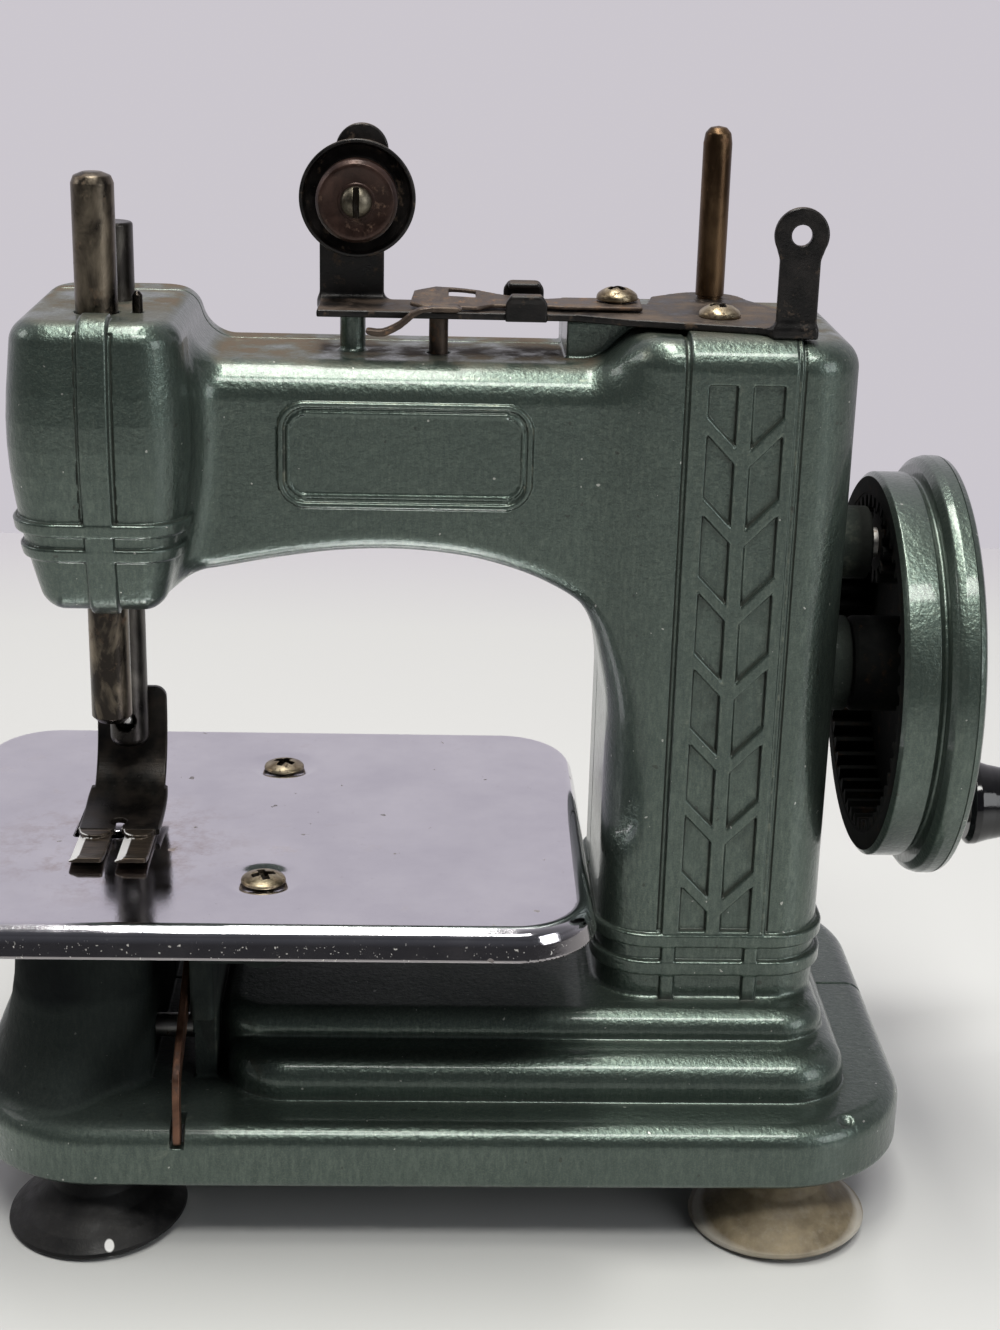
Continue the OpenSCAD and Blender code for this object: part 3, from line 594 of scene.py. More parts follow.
def foot_metal():
    m = Mat("foot_black")
    n = m.noise(300, 5, 0.62)
    c = m.mix(m.ramp(n, [(0.4, 0.0), (0.7, 1.0)]), (0.010, 0.009, 0.008), (0.032, 0.025, 0.019))
    # streaked brown on the toes' tops: painted reflection
    toe = m.attr("toe")
    line = m.noise(1.0, 4, 0.7, m.stretch((150, 2600, 150)))
    c = m.mix(toe, c, m.ramp(line, [(0.3, (0.020, 0.016, 0.012)), (0.55, (0.060, 0.046, 0.034)), (0.75, (0.20, 0.15, 0.10))]))
    # toes' left bevels near white: bare worn steel, and a painted highlight of the light from the left
    b = m.attr("bright")
    c = m.mix(b, c, (0.86, 0.86, 0.84))
    r = m.mix(b, m.ramp(n, [(0.3, 0.26), (0.7, 0.44)]), (0.5, 0.5, 0.5))
    m.set(Base_Color=c, Metallic=m.ramp(b, [(0.0, 0.65), (1.0, 0.5)]), Roughness=r)
    m.link(m.bump(m.noise(2500, 3, 0.6), 0.12, 0.0002), m.b.inputs["Normal"])
    return m.m


M = {}
M["paint"] = paint("hammered_enamel")
M["wheel"] = paint("hammered_enamel_wheel", body=False)
M["dark_paint"] = metal("dark_enamel", (0.012, 0.018, 0.016), (0.03, 0.038, 0.034), (0.35, 0.6), 400, bump=0.25, metallic=0.3)
M["black"] = metal("black_finish", (0.006, 0.0055, 0.0055), (0.018, 0.015, 0.014), (0.26, 0.46), 260, rust=0.25, rust_col=(0.07, 0.045, 0.028), bump=0.2, metallic=0.45, dust=0.75)
M["brown"] = metal("browned_steel", (0.055, 0.040, 0.032), (0.12, 0.088, 0.066), (0.35, 0.6), 330, rust=0.4, rust_col=(0.16, 0.09, 0.05), bump=0.2, metallic=0.6)
M["bar"] = metal("worn_nickel_bar", (0.028, 0.024, 0.021), (0.24, 0.20, 0.15), (0.2, 0.42), 190, (1, 1, 0.55), rust=0.15, rust_col=(0.09, 0.055, 0.03), bump=0.12, thr=(0.40, 0.66))
M["presser"] = metal("worn_presser_bar", (0.035, 0.032, 0.030), (0.14, 0.13, 0.115), (0.25, 0.45), 160, (1, 1, 0.5), bump=0.12, thr=(0.40, 0.68))
M["nickel"] = metal("aged_nickel", (0.20, 0.155, 0.095), (0.46, 0.40, 0.29), (0.26, 0.45), 420, rust=0.45, rust_col=(0.06, 0.035, 0.02), bump=0.12, recess_shade=True)
M["steel"] = metal("dull_steel", (0.30, 0.29, 0.28), (0.46, 0.45, 0.43), (0.3, 0.5), 420, rust=0.15, bump=0.12)
M["spring"] = metal("spring_wire", (0.34, 0.33, 0.31), (0.5, 0.48, 0.45), (0.25, 0.4), 600, bump=0.1)
M["brass"] = metal("plain_brass", (0.46, 0.31, 0.11), (0.62, 0.45, 0.2), (0.28, 0.45), 420, bump=0.1)
M["bronze"] = metal("dull_bronze", (0.060, 0.036, 0.020), (0.165, 0.105, 0.058), (0.28, 0.5), 150, (1, 1, 0.45), rust=0.15, bump=0.15, thr=(0.38, 0.66))
M["copper"] = metal("copper_strip", (0.085, 0.042, 0.027), (0.22, 0.115, 0.075), (0.35, 0.55), 260, rust=0.35, rust_col=(0.07, 0.04, 0.03), bump=0.2, metallic=0.8)
M["cap"] = metal("tension_cap_brown", (0.024, 0.012, 0.009), (0.056, 0.029, 0.022), (0.26, 0.42), 300, rust=0.2, rust_col=(0.09, 0.05, 0.03), bump=0.15, metallic=0.6)
M["slot_brass"] = metal("slot_screw", (0.085, 0.074, 0.056), (0.20, 0.18, 0.14), (0.3, 0.45), 420, rust=0.3, rust_col=(0.05, 0.03, 0.02), bump=0.12, recess_shade=True)
M["foot"] = foot_metal()
# near-black matte finish for the handwheel's inside and the parts within it: partly dirty bare metal, partly painted
# shade
M["inside"] = metal("wheel_inside", (0.004, 0.0045, 0.0045), (0.009, 0.0095, 0.009), (0.75, 0.9), 260, rust=0.25, rust_col=(0.022, 0.013, 0.008), bump=0.3, metallic=0.0)
next(n for n in M["inside"].node_tree.nodes if n.type == "BSDF_PRINCIPLED").inputs["Specular IOR Level"].default_value = 0.05
M["oily_brass"] = metal("oily_brass", (0.045, 0.030, 0.014), (0.10, 0.066, 0.030), (0.4, 0.6), 300, rust=0.4, rust_col=(0.02, 0.014, 0.01), bump=0.2)
M["worn"] = metal("worn_bright", (0.78, 0.77, 0.74), (0.9, 0.9, 0.88), (0.35, 0.5), 700, bump=0.1)
M["knob"] = metal("black_knob", (0.004, 0.004, 0.005), (0.008, 0.008, 0.009), (0.06, 0.16), 300, bump=0.03, metallic=0.0)
M["rubber_black"] = rubber("black_rubber", (0.003, 0.003, 0.0035), (0.008, 0.0075, 0.0075), 0.03, None, (-0.0644, -0.0442))
M["rubber_brown"] = rubber("brown_rubber", (0.115, 0.090, 0.055), (0.24, 0.195, 0.125), 0.25, (0.0434, 0.03325))


def chrome_plate():
    m = Mat("plate_plating")
    n = m.noise(70, 5, 0.6)
    c = m.mix(m.ramp(n, [(0.3, 0.0), (0.7, 1.0)]), (0.66, 0.645, 0.70), (0.76, 0.745, 0.79))
    spots = m.ramp(m.noise(330, 2, 0.5), [(0.735, 0.0), (0.75, 1.0)])
    pits = m.ramp(m.noise(1500, 2, 0.6), [(0.70, 0.0), (0.76, 1.0)])
    haze = m.ramp(m.noise(45, 5, 0.7), [(0.52, 0.0), (0.72, 0.5)])
    rust = m.math("MULTIPLY", m.ramp(m.noise(130, 6, 0.72), [(0.58, 0.0), (0.74, 0.8)]), haze)
    c = m.mix(m.math("MULTIPLY", spots, 0.8), c, (0.12, 0.10, 0.10))
    c = m.mix(m.math("MULTIPLY", pits, 0.5), c, (0.30, 0.24, 0.22))
    c = m.mix(rust, c, (0.36, 0.23, 0.16))
    dx = m.math("SUBTRACT", m.axis(0), -0.0655)
    dy = m.math("SUBTRACT", m.axis(1), -0.0180)
    rad = m.math("MULTIPLY", m.math("SQRT", m.math("ADD", m.math("MULTIPLY", dx, dx), m.math("MULTIPLY", dy, dy))), 20.0)
    near = m.math("MULTIPLY", m.ramp(rad, [(0.08, 0.1), (0.2, 0.6), (0.5, 0.0)]), m.ramp(m.noise(190, 6, 0.75), [(0.46, 0.0), (0.66, 1.0)]))
    c = m.mix(near, c, (0.40, 0.31, 0.27))
    r = m.ramp(m.noise(160, 4, 0.6), [(0.3, 0.07), (0.7, 0.15)])
    r = m.mix(m.math("MAXIMUM", spots, rust), r, (0.6, 0.6, 0.6))
    side = m.ramp(m.math("ABSOLUTE", m.facing_up()), [(0.25, 1.0), (0.55, 0.0)])
    c = m.mix(m.math("MULTIPLY", side, 0.7), c, (0.15, 0.13, 0.12))
    flakes = m.math("MULTIPLY", side, m.ramp(m.noise(1700, 2, 0.6), [(0.66, 0.0), (0.70, 1.0)]))
    c = m.mix(flakes, c, (0.80, 0.78, 0.74))
    r = m.mix(flakes, r, (0.5, 0.5, 0.5))
    # underside dull and near black: unplated metal, and painted shade under the plate
    under = m.ramp(m.math("MULTIPLY", m.facing_up(), -1.0), [(0.3, 0.0), (0.6, 1.0)])
    c = m.mix(under, c, (0.035, 0.030, 0.027))
    r = m.mix(under, r, (0.7, 0.7, 0.7))
    m.set(Base_Color=c, Metallic=m.ramp(m.math("MAXIMUM", spots, rust), [(0.0, 1.0), (1.0, 0.3)]), Roughness=r)
    h = m.bump(m.noise(24, 2, 0.5), 0.05, 0.002)
    h = m.bump(m.noise(2200, 2, 0.6), 0.03, 0.0002, h)
    m.link(h, m.b.inputs["Normal"])
    return m.m


M["plate"] = chrome_plate()

# ------------------------------------------------------------------ body castings
COLX0, COLX1, COLY0, COLY1, COLTOP = 79.0, 115.6, -5.25, 38.0, 142.9


def d_col(x, y, z):
    return slab(x, y, z, COLX0, COLX1, COLY0, COLY1, 30.0, COLTOP, 8.5, 4.6, 0.0)


ARCH = spline([(6, 104.0), (14, 104.4), (26, 106.6), (36, 108), (46, 108.3), (56, 107.3), (64, 105.2), (70, 102.6), (74.2, 99.8), (77, 96), (78.9, 92), (81.6, 87), (86, 80)], 4)
ARM = ARCH + [(92, 80), (92, 137.6), (6, 137.6)]


def d_arm(x, y, z):
    r = 3.2 + 2.6 * sstep(116, 130, z)
    return ext(poly2(x, z, ARM), span(y, -0.5, 31.5), r)


HZ = np.array([98, 101, 104, 107, 110, 113, 116, 119, 122, 126, 130, 134, 138, 142, 146], float)
HE = np.array([-4.4, -3.6, -2.7, -1.9, -1.15, -0.5, 0.0, 0.45, 0.8, 1.05, 1.05, 0.8, 0.4, 0.0, -0.3], float)


def d_head(x, y, z):
    e = np.interp(z, HZ, HE).astype(f32)
    q = ext(rr2(x, y, -12.3, 13.2, -11.3, 31.4, 6.8) - e, span(z, 100.0, 145.0), np.where(z > 122, 3.4, 3.0))
    return q


CH0, CHP, CHS = 131.95, 12.47, 4.7 / 4.5


def d_cells(x, y, z):
    d = None
    for x0, x1, outer, sgn in ((91.75, 96.1, 91.7, 1), (98.45, 103.25, 103.3, -1)):
        cell = rr2(x, z, x0, x1, 46.3, 136.7, 0.3)
        t = z + CHS * sgn * (x - outer)
        i = np.clip(np.round((CH0 - 1.35 - t) / CHP), 0, 6)
        bar = np.abs(t - (CH0 - 1.35 - CHP * i)) / math.hypot(1, CHS) - 0.95
        c = np.maximum(cell, -bar)
        d = c if d is None else np.minimum(d, c)
    return np.maximum(d, y + 4.85)


BEDZ = np.array([18, 22.6, 25, 28, 32, 36, 40, 46, 60], float)
BEDE = np.array([12, 8.5, 5.8, 3.9, 2.3, 1.2, 0.5, 0.0, -0.1], float)


def d_bed(x, y, z):
    e = np.interp(z, BEDZ, BEDE).astype(f32)
    left = sstep(2, -8, x) * e
    d = ext(rr2(x, y, -15.2, 6.5, -17, 44, 8) - left, span(z, 15, 59), 0.5)
    return ir(d, rr2(x, y, -23, 129.4, -29, 61.5, 22) + 2.2, 5.0)


def build_outer():
    B = Field()
    B.add(lambda x, y, z: slab(x, y, z, -23, 129.4, -29, 61.5, 12.3, 22.6, 22, 3.4, 1.2), -23, 129.4, -29, 61.5, 12.3, 22.6)
    B.add(lambda x, y, z: slab(x, y, z, 18.4, 119.5, -19.75, 52.25, 15, 29.6, 10, 4.6, 0.0), 18.4, 119.5, -19.75, 52.25, 15, 29.6, 0.35)
    B.add(lambda x, y, z: slab(x, y, z, 16.8, 116.6, -11.75, 44.25, 20, 34, 8, 3.5, 0.0), 16.8, 116.6, -11.75, 44.25, 20, 34, 0.35)
    B.add(d_col, 79, 115.6, -5.3, 38.5, 30, 143, 0.9)
    B.add(d_arm, 6, 92, -0.5, 31.5, 86, 137.6, 5.5)
    B.add(d_head, -13.5, 14.5, -12.5, 32.5, 100, 145, 5.0)
    # raised panel that runs up the column's front and over its top edge
    B.add(lambda x, y, z: ir(ir(d_col(x, y, z) - 0.7, np.abs(x - 97.4) - 8.45, 0.35), np.maximum(44.0 - z, y - 14), 0.3), 88.9, 105.9, -6.0, 14, 44, 143.7, 0.15)
    B.cut(lambda x, y, z: np.maximum(np.hypot(x - 88.55, d_col(x, y, z)) - 0.38, np.maximum(46.2 - z, y - 14)), 88, 89.2, -6.5, 14, 46, 144, 0.15)
    B.cut(lambda x, y, z: np.maximum(np.hypot(x - 106.1, d_col(x, y, z)) - 0.28, np.maximum(46.2 - z, y - 14)), 105.6, 106.6, -6.5, 14, 46, 144, 0.1)
    B.cut(lambda x, y, z: np.maximum(np.hypot(x - 105.15, d_col(x, y, z) - 0.75) - 0.22, np.maximum(46.2 - z, y - 3)), 104.8, 105.6, -6.5, 4, 46, 144, 0.1)
    B.cut(d_cells, 91.7, 103.4, -8, -4.8, 46, 137, 0.3)
    # two bands round the column's foot, with short ribs below the panel's borders
    for z0, z1, e in ((43.45, 45.85, 1.0), (38.4, 41.0, 1.0)):
        B.add(lambda x, y, z, z0=z0, z1=z1, e=e: ext(d_col(x, y, z) - e, span(z, z0, z1), 0.45), 77.8, 116.8, -6.5, 39.4, z0, z1, 0.2)
    for x0, x1 in ((89.0, 91.3), (102.6, 104.9)):
        B.add(lambda x, y, z, x0=x0, x1=x1: ext(np.maximum(d_col(x, y, z) - 0.95, y - 5), np.maximum(span(x, x0, x1), z - 45), 0.35), x0, x1, -6.4, 5, 33, 45, 0.2)
    # bands and rib on the head
    for z0, z1, e in ((113.0, 115.2, 0.95), (108.9, 111.1, 0.8)):
        B.add(lambda x, y, z, z0=z0, z1=z1, e=e: ext(d_head(x, y, z) - e, span(z, z0, z1), 0.5), -15, 16, -13.6, 33.8, z0, z1, 0.25)
    B.add(lambda x, y, z: ext(np.maximum(d_head(x, y, z) - 0.8, y + 5.5), np.abs(x - 0.75) - 2.2, 0.45), -1.5, 3, -13.6, -5, 100, 146, 0.2)
    for gx in (-1.75, 3.25):
        B.cut(lambda x, y, z, gx=gx: np.maximum(np.hypot(x - gx, d_head(x, y, z)) - 0.3, np.maximum(y + 6.5, np.maximum(115.3 - z, z - 143.5))), gx - 0.6, gx + 0.6, -13.5, -6, 115, 144, 0.15)
    # flat-fronted riser under the bracket
    B.add(lambda x, y, z: bx(x, y, z, 71, 90, 9, 31.2, 130, 143.6, 0.5), 71, 90, 9, 31.5, 130, 143.6, 0.5)
    # mark of the mould's pin on the rail's front corner
    B.cut(lambda x, y, z: np.sqrt((x - 118.0) ** 2 + (y + 24.4) ** 2 + (z - 23.3) ** 2) - 1.75, 116.2, 119.8, -26.2, -22.6, 21.5, 25, 0.25)
    # left bed, cross web, plate posts
    B.add(lambda x, y, z: d_bed(x, y, z), -24, 6.5, -18, 45, 15, 59, 1.5)
    B.add(lambda x, y, z: np.maximum(bx(x, y, z, 13, 16.8, -16, 43, 15, 59, 0.8), -np.maximum(y + 12.2, z - 34.7)), 13, 16.8, -16, 43, 15, 59, 0.6)
    for yy in (-16.2, 31.2):
        B.add(lambda x, y, z, yy=yy: np.minimum(cz(x, y, z, 25, yy, 46.2, 59, 4.0, 0.4), bx(x, y, z, 15, 25, yy - 2.5, yy + 2.5, 46.2, 59, 0.4)), 15, 29, yy - 4, yy + 4, 46.2, 59, 0.6)
    B.add(lambda x, y, z: cx(x, y, z, 110, 120, MID, 85.7, 8, 0.6), 110, 120, 8, 25, 77, 94, 1.5)
    B.add(lambda x, y, z: cx(x, y, z, 110, 122, MID, 106.7, 6, 0.5), 110, 122, 10, 23, 100, 113, 1.5)
    B.add(lambda x, y, z: cz(x, y, z, 37.7, 12.6, 130, 143.6, 2.0, 0.2), 35.7, 39.7, 10.6, 14.6, 130, 143.6, 0.8)
    # frame of the nameplate on the arm
    B.add(lambda x, y, z: ext(np.abs(rr2(x, z, 27.15, 65.35, 115.95, 131.65, 3.9)) - 0.42, span(y, -1.0, 1.0), 0.28), 26.5, 66, -1, 1, 115.3, 132.3, 0.15)
    B.add(lambda x, y, z: ext(np.abs(rr2(x, z, 28.25, 64.25, 117.3, 130.3, 3.0)) - 0.26, span(y, -0.75, 1.0), 0.2), 27.8, 64.8, -1, 1, 116.8, 130.8, 0.15)
    return B


SCREWS = [(-5.7, 107), (60, 130.2), (107.6, 134), (107.6, 48), (50, 19), (-8, 19)]
FEET = [(-2.5, MID - 33.25), (-2.5, MID + 33.25), (108.9, MID - 33.25), (108.9, MID + 33.25)]


def arm_in(t, lo, hi):
    return [(6, lo + 4 + t), (14, lo + 4.4 + t), (26, lo + 6.6 + t), (36, lo + 8 + t), (46, lo + 8.3 + t), (56, lo + 7.3 + t), (64, lo + 5.2 + t), (70 + t * 0.4, lo + 2.6 + t), (74.2 + t * 0.7, lo - 0.2 + t * 0.7), (77 + t, lo - 4 + t * 0.4), (78.4 + t, lo - 8), (79 + t, lo - 14), (92, lo - 14), (92, hi - t), (6, hi - t)]


ARM_IN = arm_in(2.4, 100.0, 137.2)


def build_hollow():
    H = Field()
    H.add(lambda x, y, z: slab(x, y, z, -20.6, 127, -26.6, 59.1, 5, 20.2, 19.6, 0.8), -20.6, 127, -26.6, 59.1, 5, 20.2)
    H.add(lambda x, y, z: slab(x, y, z, 21, 117, -17.15, 49.65, 18.6, 27.2, 7.5, 0.8), 21, 117, -17.2, 49.7, 18.6, 27.2)
    H.add(lambda x, y, z: slab(x, y, z, 19.4, 114, -9.35, 41.85, 26, 31.6, 5.5, 0.5), 19.4, 114, -9.4, 41.9, 26, 31.6)
    H.add(lambda x, y, z: slab(x, y, z, 81.4, 113.2, -2.8, 36.1, 24, 140.6, 4, 0.8), 81.4, 113.2, -3, 36.1, 24, 141)
    H.add(lambda x, y, z: np.maximum(poly2(x, z, ARM_IN), span(y, 2.1, 29.1)), 6, 92, 1.9, 29.1, 88, 135.2)
    H.add(lambda x, y, z: np.maximum(d_head(x, y, z) + 2.2, np.maximum(104 - z, z - 142.4)), -11.5, 12.5, -10.5, 30.5, 104, 142.6)
    H.add(lambda x, y, z: slab(x, y, z, -12.4, 4, -14.4, 41.4, 16.6, 61, 6, 0.3), -13, 4, -14.6, 41.6, 16.6, 61)
    H.add(lambda x, y, z: bx(x, y, z, 6, 13.2, -13, 40, 22.6, 30.6, 0.3), 6, 13.5, -13, 40, 22.6, 30.6)
    for px, pz in [(-8.2, 107)] + SCREWS[1:]:
        H.cut(lambda x, y, z, px=px, pz=pz: cyl(x, y, z, px, -30, 62, pz, 4.4), px - 4.4, px + 4.4, -30, 62, pz - 4.4, pz + 4.4, 0.4)
    H.cut(lambda x, y, z: cx(x, y, z, 107, 118, MID, 106.7, 6), 107, 118, 10, 22.5, 100.5, 113, 0.4)
    H.cut(lambda x, y, z: cx(x, y, z, 108, 118, MID, 85.7, 8), 108, 118, 8, 24.5, 77.5, 94, 0.4)
    H.cut(lambda x, y, z: np.minimum(cyl(x, y, z, 70, -5, 11.6, 117, 4), cyl(x, y, z, 70, SEAM, 35, 117, 4)), 66, 74, -5, 35, 113, 121, 0.4)
    for y0, y1 in ((17, 20.4), (27, 30.4)):
        H.cut(lambda x, y, z, y0=y0, y1=y1: bx(x, y, z, -18, 8, y0, y1, 46, 56), -18, 8, y0, y1, 46, 56, 0.4)
    for px, py in FEET:
        H.cut(lambda x, y, z, px=px, py=py: cz(x, y, z, px, py, 10, 24, 6), px - 6, px + 6, py - 6, py + 6, 10, 24, 0.6)
    return H


def build_holes():
    C = Field()
    C.add(lambda x, y, z: cz(x, y, z, 0, 0, 96, 150, 3.3), -3.3, 3.3, -3.3, 3.3, 96, 150)
    C.add(lambda x, y, z: cz(x, y, z, 0.8, 12.5, 96, 150, 3.3), -2.5, 4.1, 9.2, 15.8, 96, 150)
    C.add(lambda x, y, z: cz(x, y, z, 6, 0.4, 138, 150, 0.85), 5, 7, -0.6, 1.4, 138, 150)
    C.add(lambda x, y, z: cz(x, y, z, 51.1, 12.3, 132, 140, 1.8), 49, 53, 10.3, 14.3, 132, 140)
    C.add(lambda x, y, z: cx(x, y, z, 104, 126, MID, 106.7, 5.05), 104, 126, 11, 21.5, 101.5, 112)
    C.add(lambda x, y, z: cx(x, y, z, 104, 126, MID, 85.7, 4.05), 104, 126, 12, 20.5, 81.5, 90)
    C.add(lambda x, y, z: cyl(x, y, z, 70, 2, 28, 117, 2.05), 67.9, 72.1, 2, 28, 114.9, 119.1)
    C.add(lambda x, y, z: cx(x, y, z, 2, 30, -3, 27, 2.15), 2, 30, -5.2, -0.8, 24.8, 29.2)
    C.add(lambda x, y, z: cx(x, y, z, 5, 17.5, 3, 44, 1.6), 5, 17.5, 1.4, 4.6, 42.4, 45.6)
    C.add(lambda x, y, z: bx(x, y, z, -8.4, -3.1, 10, 36, 49.6, 53.4), -8.4, -3.1, 10, 36, 49.6, 53.4)
    for yy in (-16.2, 31.2):
        C.add(lambda x, y, z, yy=yy: cz(x, y, z, 25, yy, 48, 62, 1.6), 23, 27, yy - 2, yy + 2, 48, 62)
    for px, py in ((79, 14.1), (94.4, 7.5)):
        C.add(lambda x, y, z, px=px, py=py: cz(x, y, z, px, py, 136, 146, 1.6), px - 2, px + 2, py - 2, py + 2, 136, 146)
    C.add(lambda x, y, z: bx(x, y, z, 10.95, 13.05, -31, -23.2, 19.3, 25, 0.3), 10.8, 13.2, -31, -23, 19, 25)
    for px, py in FEET:
        C.add(lambda x, y, z, px=px, py=py: cz(x, y, z, px, py, 8, 21.2, 3.1), px - 3.1, px + 3.1, py - 3.1, py + 3.1, 8, 21.2)
    for px, pz in SCREWS:
        C.add(lambda x, y, z, px=px, pz=pz: np.minimum(cyl(x, y, z, px, 12, SEAM + 1, pz, 1.3), np.minimum(cyl(x, y, z, px, SEAM - 1, 28.5, pz, 1.65), cyl(x, y, z, px, 28.1, 70, pz, 3.2))), px - 3.2, px + 3.2, 12, 70, pz - 3.2, pz + 3.2)
    return C


OUT, HOL, CUT = build_outer(), build_hollow(), build_holes()


def body(P):
    d = np.maximum(OUT(P), -HOL(P))
    return ir(d, -CUT(P), 0.15)


def front_half(P):
    return ir(body(P), P[:, 1] - f32(SEAM - 0.10), 0.28)


def rear_half(P):
    return ir(body(P), f32(SEAM + 0.10) - P[:, 1], 0.28)


vox = 0.36
solid("front_body", front_half, (-24, -30, 12), (130.5, SEAM, 146), vox, "root", M["paint"], ["front_casting"], 190000, 1.6)
solid("rear_body", rear_half, (-24, SEAM, 12), (130.5, 62.5, 146), vox * (1.25), "root", M["paint"], ["rear_casting"], 120000, 1.6)

# ------------------------------------------------------------------ cloth plate
def plate_field(P):
    x, y, z = P[:, 0], P[:, 1], P[:, 2]
    zz = z
    for yy in (-16.2, 31.2):
        zz = zz + f32(0.7) * (1 - sstep(3.0, 6.6, np.hypot(x - 25, y - yy)))
    o2 = rr2(x, y, -29, 76.5, -35, 49.6, 13) + f32(0.55) - f32(0.26) * np.clip(58.5 - z, 0, 3.4)
    outer = ext(o2, span(zz, 40, 60.0), 2.4)
    inner = ext(o2 + 1.0, span(zz, 30, 59.0), 1.5)
    d = ir(np.maximum(outer, -inner), 55.2 - z, 0.3)
    cut = np.minimum(np.hypot(x, y) - 1.6, rr2(x, y, -6.8, -2.4, -1, 17.5, 0.4))
    for yy in (-16.2, 31.2):
        cut = np.minimum(cut, np.hypot(x - 25, y - yy) - 2.0)
    return ir(d, -cut, 0.2)


solid("sewing_plate", plate_field, (-29, -35, 55.2), (76.5, 49.6, 60), 0.36, "root", M["plate"], ["cloth_plate"], 90000, 0.8)


def screw_head(name, at, axis, hr, hh, body, mat, stands=(), cross=True, turn=0.5, shank=2.0, sr=1.5, dome=0.35):
    """Domed screw head with a cross or a straight slot; at is the middle of the head's seat."""
    def f(P, only=False):
        q = P - np.array(at, f32)
        if axis == "z":
            u, v, w = q[:, 0], q[:, 1], q[:, 2]
        elif axis == "-y":
            u, v, w = q[:, 0], q[:, 2], -q[:, 1]
        else:
            u, v, w = -q[:, 0], q[:, 2], q[:, 1]
        r = np.hypot(u, v)
        k = hh * (1 - dome)
        R = (hr * hr + k * k) / (2 * k)
        cap = np.hypot(r, w - (hh - R)) - R
        d = ir(ir(cap, r - hr, 0.3), -w, 0.12)
        d = ur(d, ext(r - sr, span(w, -shank, 0.2), 0.1), 0.05)
        c, s = math.cos(turn), math.sin(turn)
        a, b = u * c + v * s, -u * s + v * c
        floor = hh * 0.30 - w
        if cross:
            top = np.minimum(np.maximum(np.abs(a) - (0.16 * hr + 0.10 * (w - hh)), np.abs(b) - (0.56 * hr + 0.5 * (w - hh))), np.maximum(np.abs(b) - (0.16 * hr + 0.10 * (w - hh)), np.abs(a) - (0.56 * hr + 0.5 * (w - hh))))
        else:
            top = np.abs(a) - 0.17 * hr
        rec = np.maximum(top, floor)
        return rec if only else ir(d, -rec, 0.06)
    lo, hi = np.array(at, float) - hr - 0.3, np.array(at, float) + hr + 0.3
    i = 2 if axis == "z" else 1
    lo[i], hi[i] = (at[i] - shank, at[i] + hh) if axis != "-y" else (at[i] - hh, at[i] + shank)
    return solid(name, f, lo, hi, (0.13) * max(1, hr / 3.2), body, mat, stands, 16000, 0.5, lambda V, n: {"recess_shade": (f(V.astype(f32), True) < 0.07).astype(float)})


screw_head("plate_screw_front", (25, -16.2, 59.55), "z", 3.5, 1.35, "root", M["nickel"], ["plate_screws"], True, 0.35)
screw_head("plate_screw_rear", (25, 31.2, 59.55), "z", 3.5, 1.35, "root", M["nickel"], ["plate_screws"], True, 1.1)
screw_head("bracket_screw_left", (79, 14.1, 146.1), "z", 3.25, 2.1, "root", M["nickel"], ["bracket_screws"], True, 0.6)
screw_head("bracket_screw_right", (94.4, 7.5, 144.82), "z", 3.25, 2.1, "root", M["nickel"], ["bracket_screws"], True, 0.2)
for i, (px, pz) in enumerate(SCREWS):
    screw_head("casing_screw_%d" % (i + 1), (px, 28.2, pz), "y", 2.9, 1.8, "root", M["steel"], ["casing_screws"], False, 0.4 + 0.8 * i, 1.0, 1.2)

# ------------------------------------------------------------------ thread bracket and what sits on it
BR = [(32.3, 7), (72, 7), (80, 3.6), (99, -1), (101.4, -2.6), (107.7, -2.6), (107.7, 8), (103, 20), (99, 29), (89, 29), (85.5, 26), (84, 18.2), (32.3, 18.2)]


def bracket_field(P):
    x, y, z = P[:, 0], P[:, 1], P[:, 2]
    flat2 = ur(poly2(x, y, BR) + 0.4, np.hypot(x - 94.2, y - 25.2) - 6.0, 1.0) - 0.4
    d = ext(flat2, span(z, 143.62, 144.8), 0.3)
    tab2 = ur(rr2(x, z, 32.3, 42.4, 135, 164, 0.8), np.hypot(x - 38.3, z - 161.8) - 6.5, 2.0)
    tab2 = ur(tab2, np.hypot(x - 38.9, z - 167.8) - 4.1, 0.8)
    tab = np.maximum(ext(tab2, span(y, 17, 18.2), 0.25), 143.7 - z)
    d = ur(d, tab, 1.4)
    eye2 = ur(rr2(x, z, 101.6, 107.7, 135, 156.8, 0.8), np.hypot(x - 104.65, z - 158.7) - 4.1, 0.9)
    eye = np.maximum(ext(eye2, span(y, -2.6, -1.4), 0.3), 143.7 - z)
    d = ur(d, eye, 1.4)
    for y0, y1, top in ((5.8, 7.0, 147.6), (18.0, 19.2, 148.0)):
        ear = np.maximum(ext(rr2(x, z, 61.3, 67.7, 138, top, 1.6), span(y, y0, y1), 0.3), 143.62 - z)
        d = ur(d, ear, 0.3)
    for y0, y1, top in ((5.8, 8.7, 147.6), (16.3, 19.2, 148.0)):
        d = ur(d, bx(x, y, z, 62.0, 67.0, y0, y1, top - 1.0, top, 0.45), 0.4)
    cut = np.minimum(cyl(x, y, z, 38.3, 10, 25, 160.8, 1.6), cyl(x, y, z, 104.65, -6, 2, 158.7, 1.55))
    cut = np.minimum(cut, np.minimum(np.hypot(x - 51.1, y - 12.3) - 2.0, np.minimum(np.hypot(x - 79, y - 14.1) - 1.6, np.hypot(x - 94.4, y - 7.5) - 1.6)))
    return ir(d, -cut, 0.15)


solid("top_bracket", bracket_field, (32, -3, 143.5), (108, 32, 172.2), 0.27, "root", M["black"], ["thread_bracket"], 80000, 0.8)

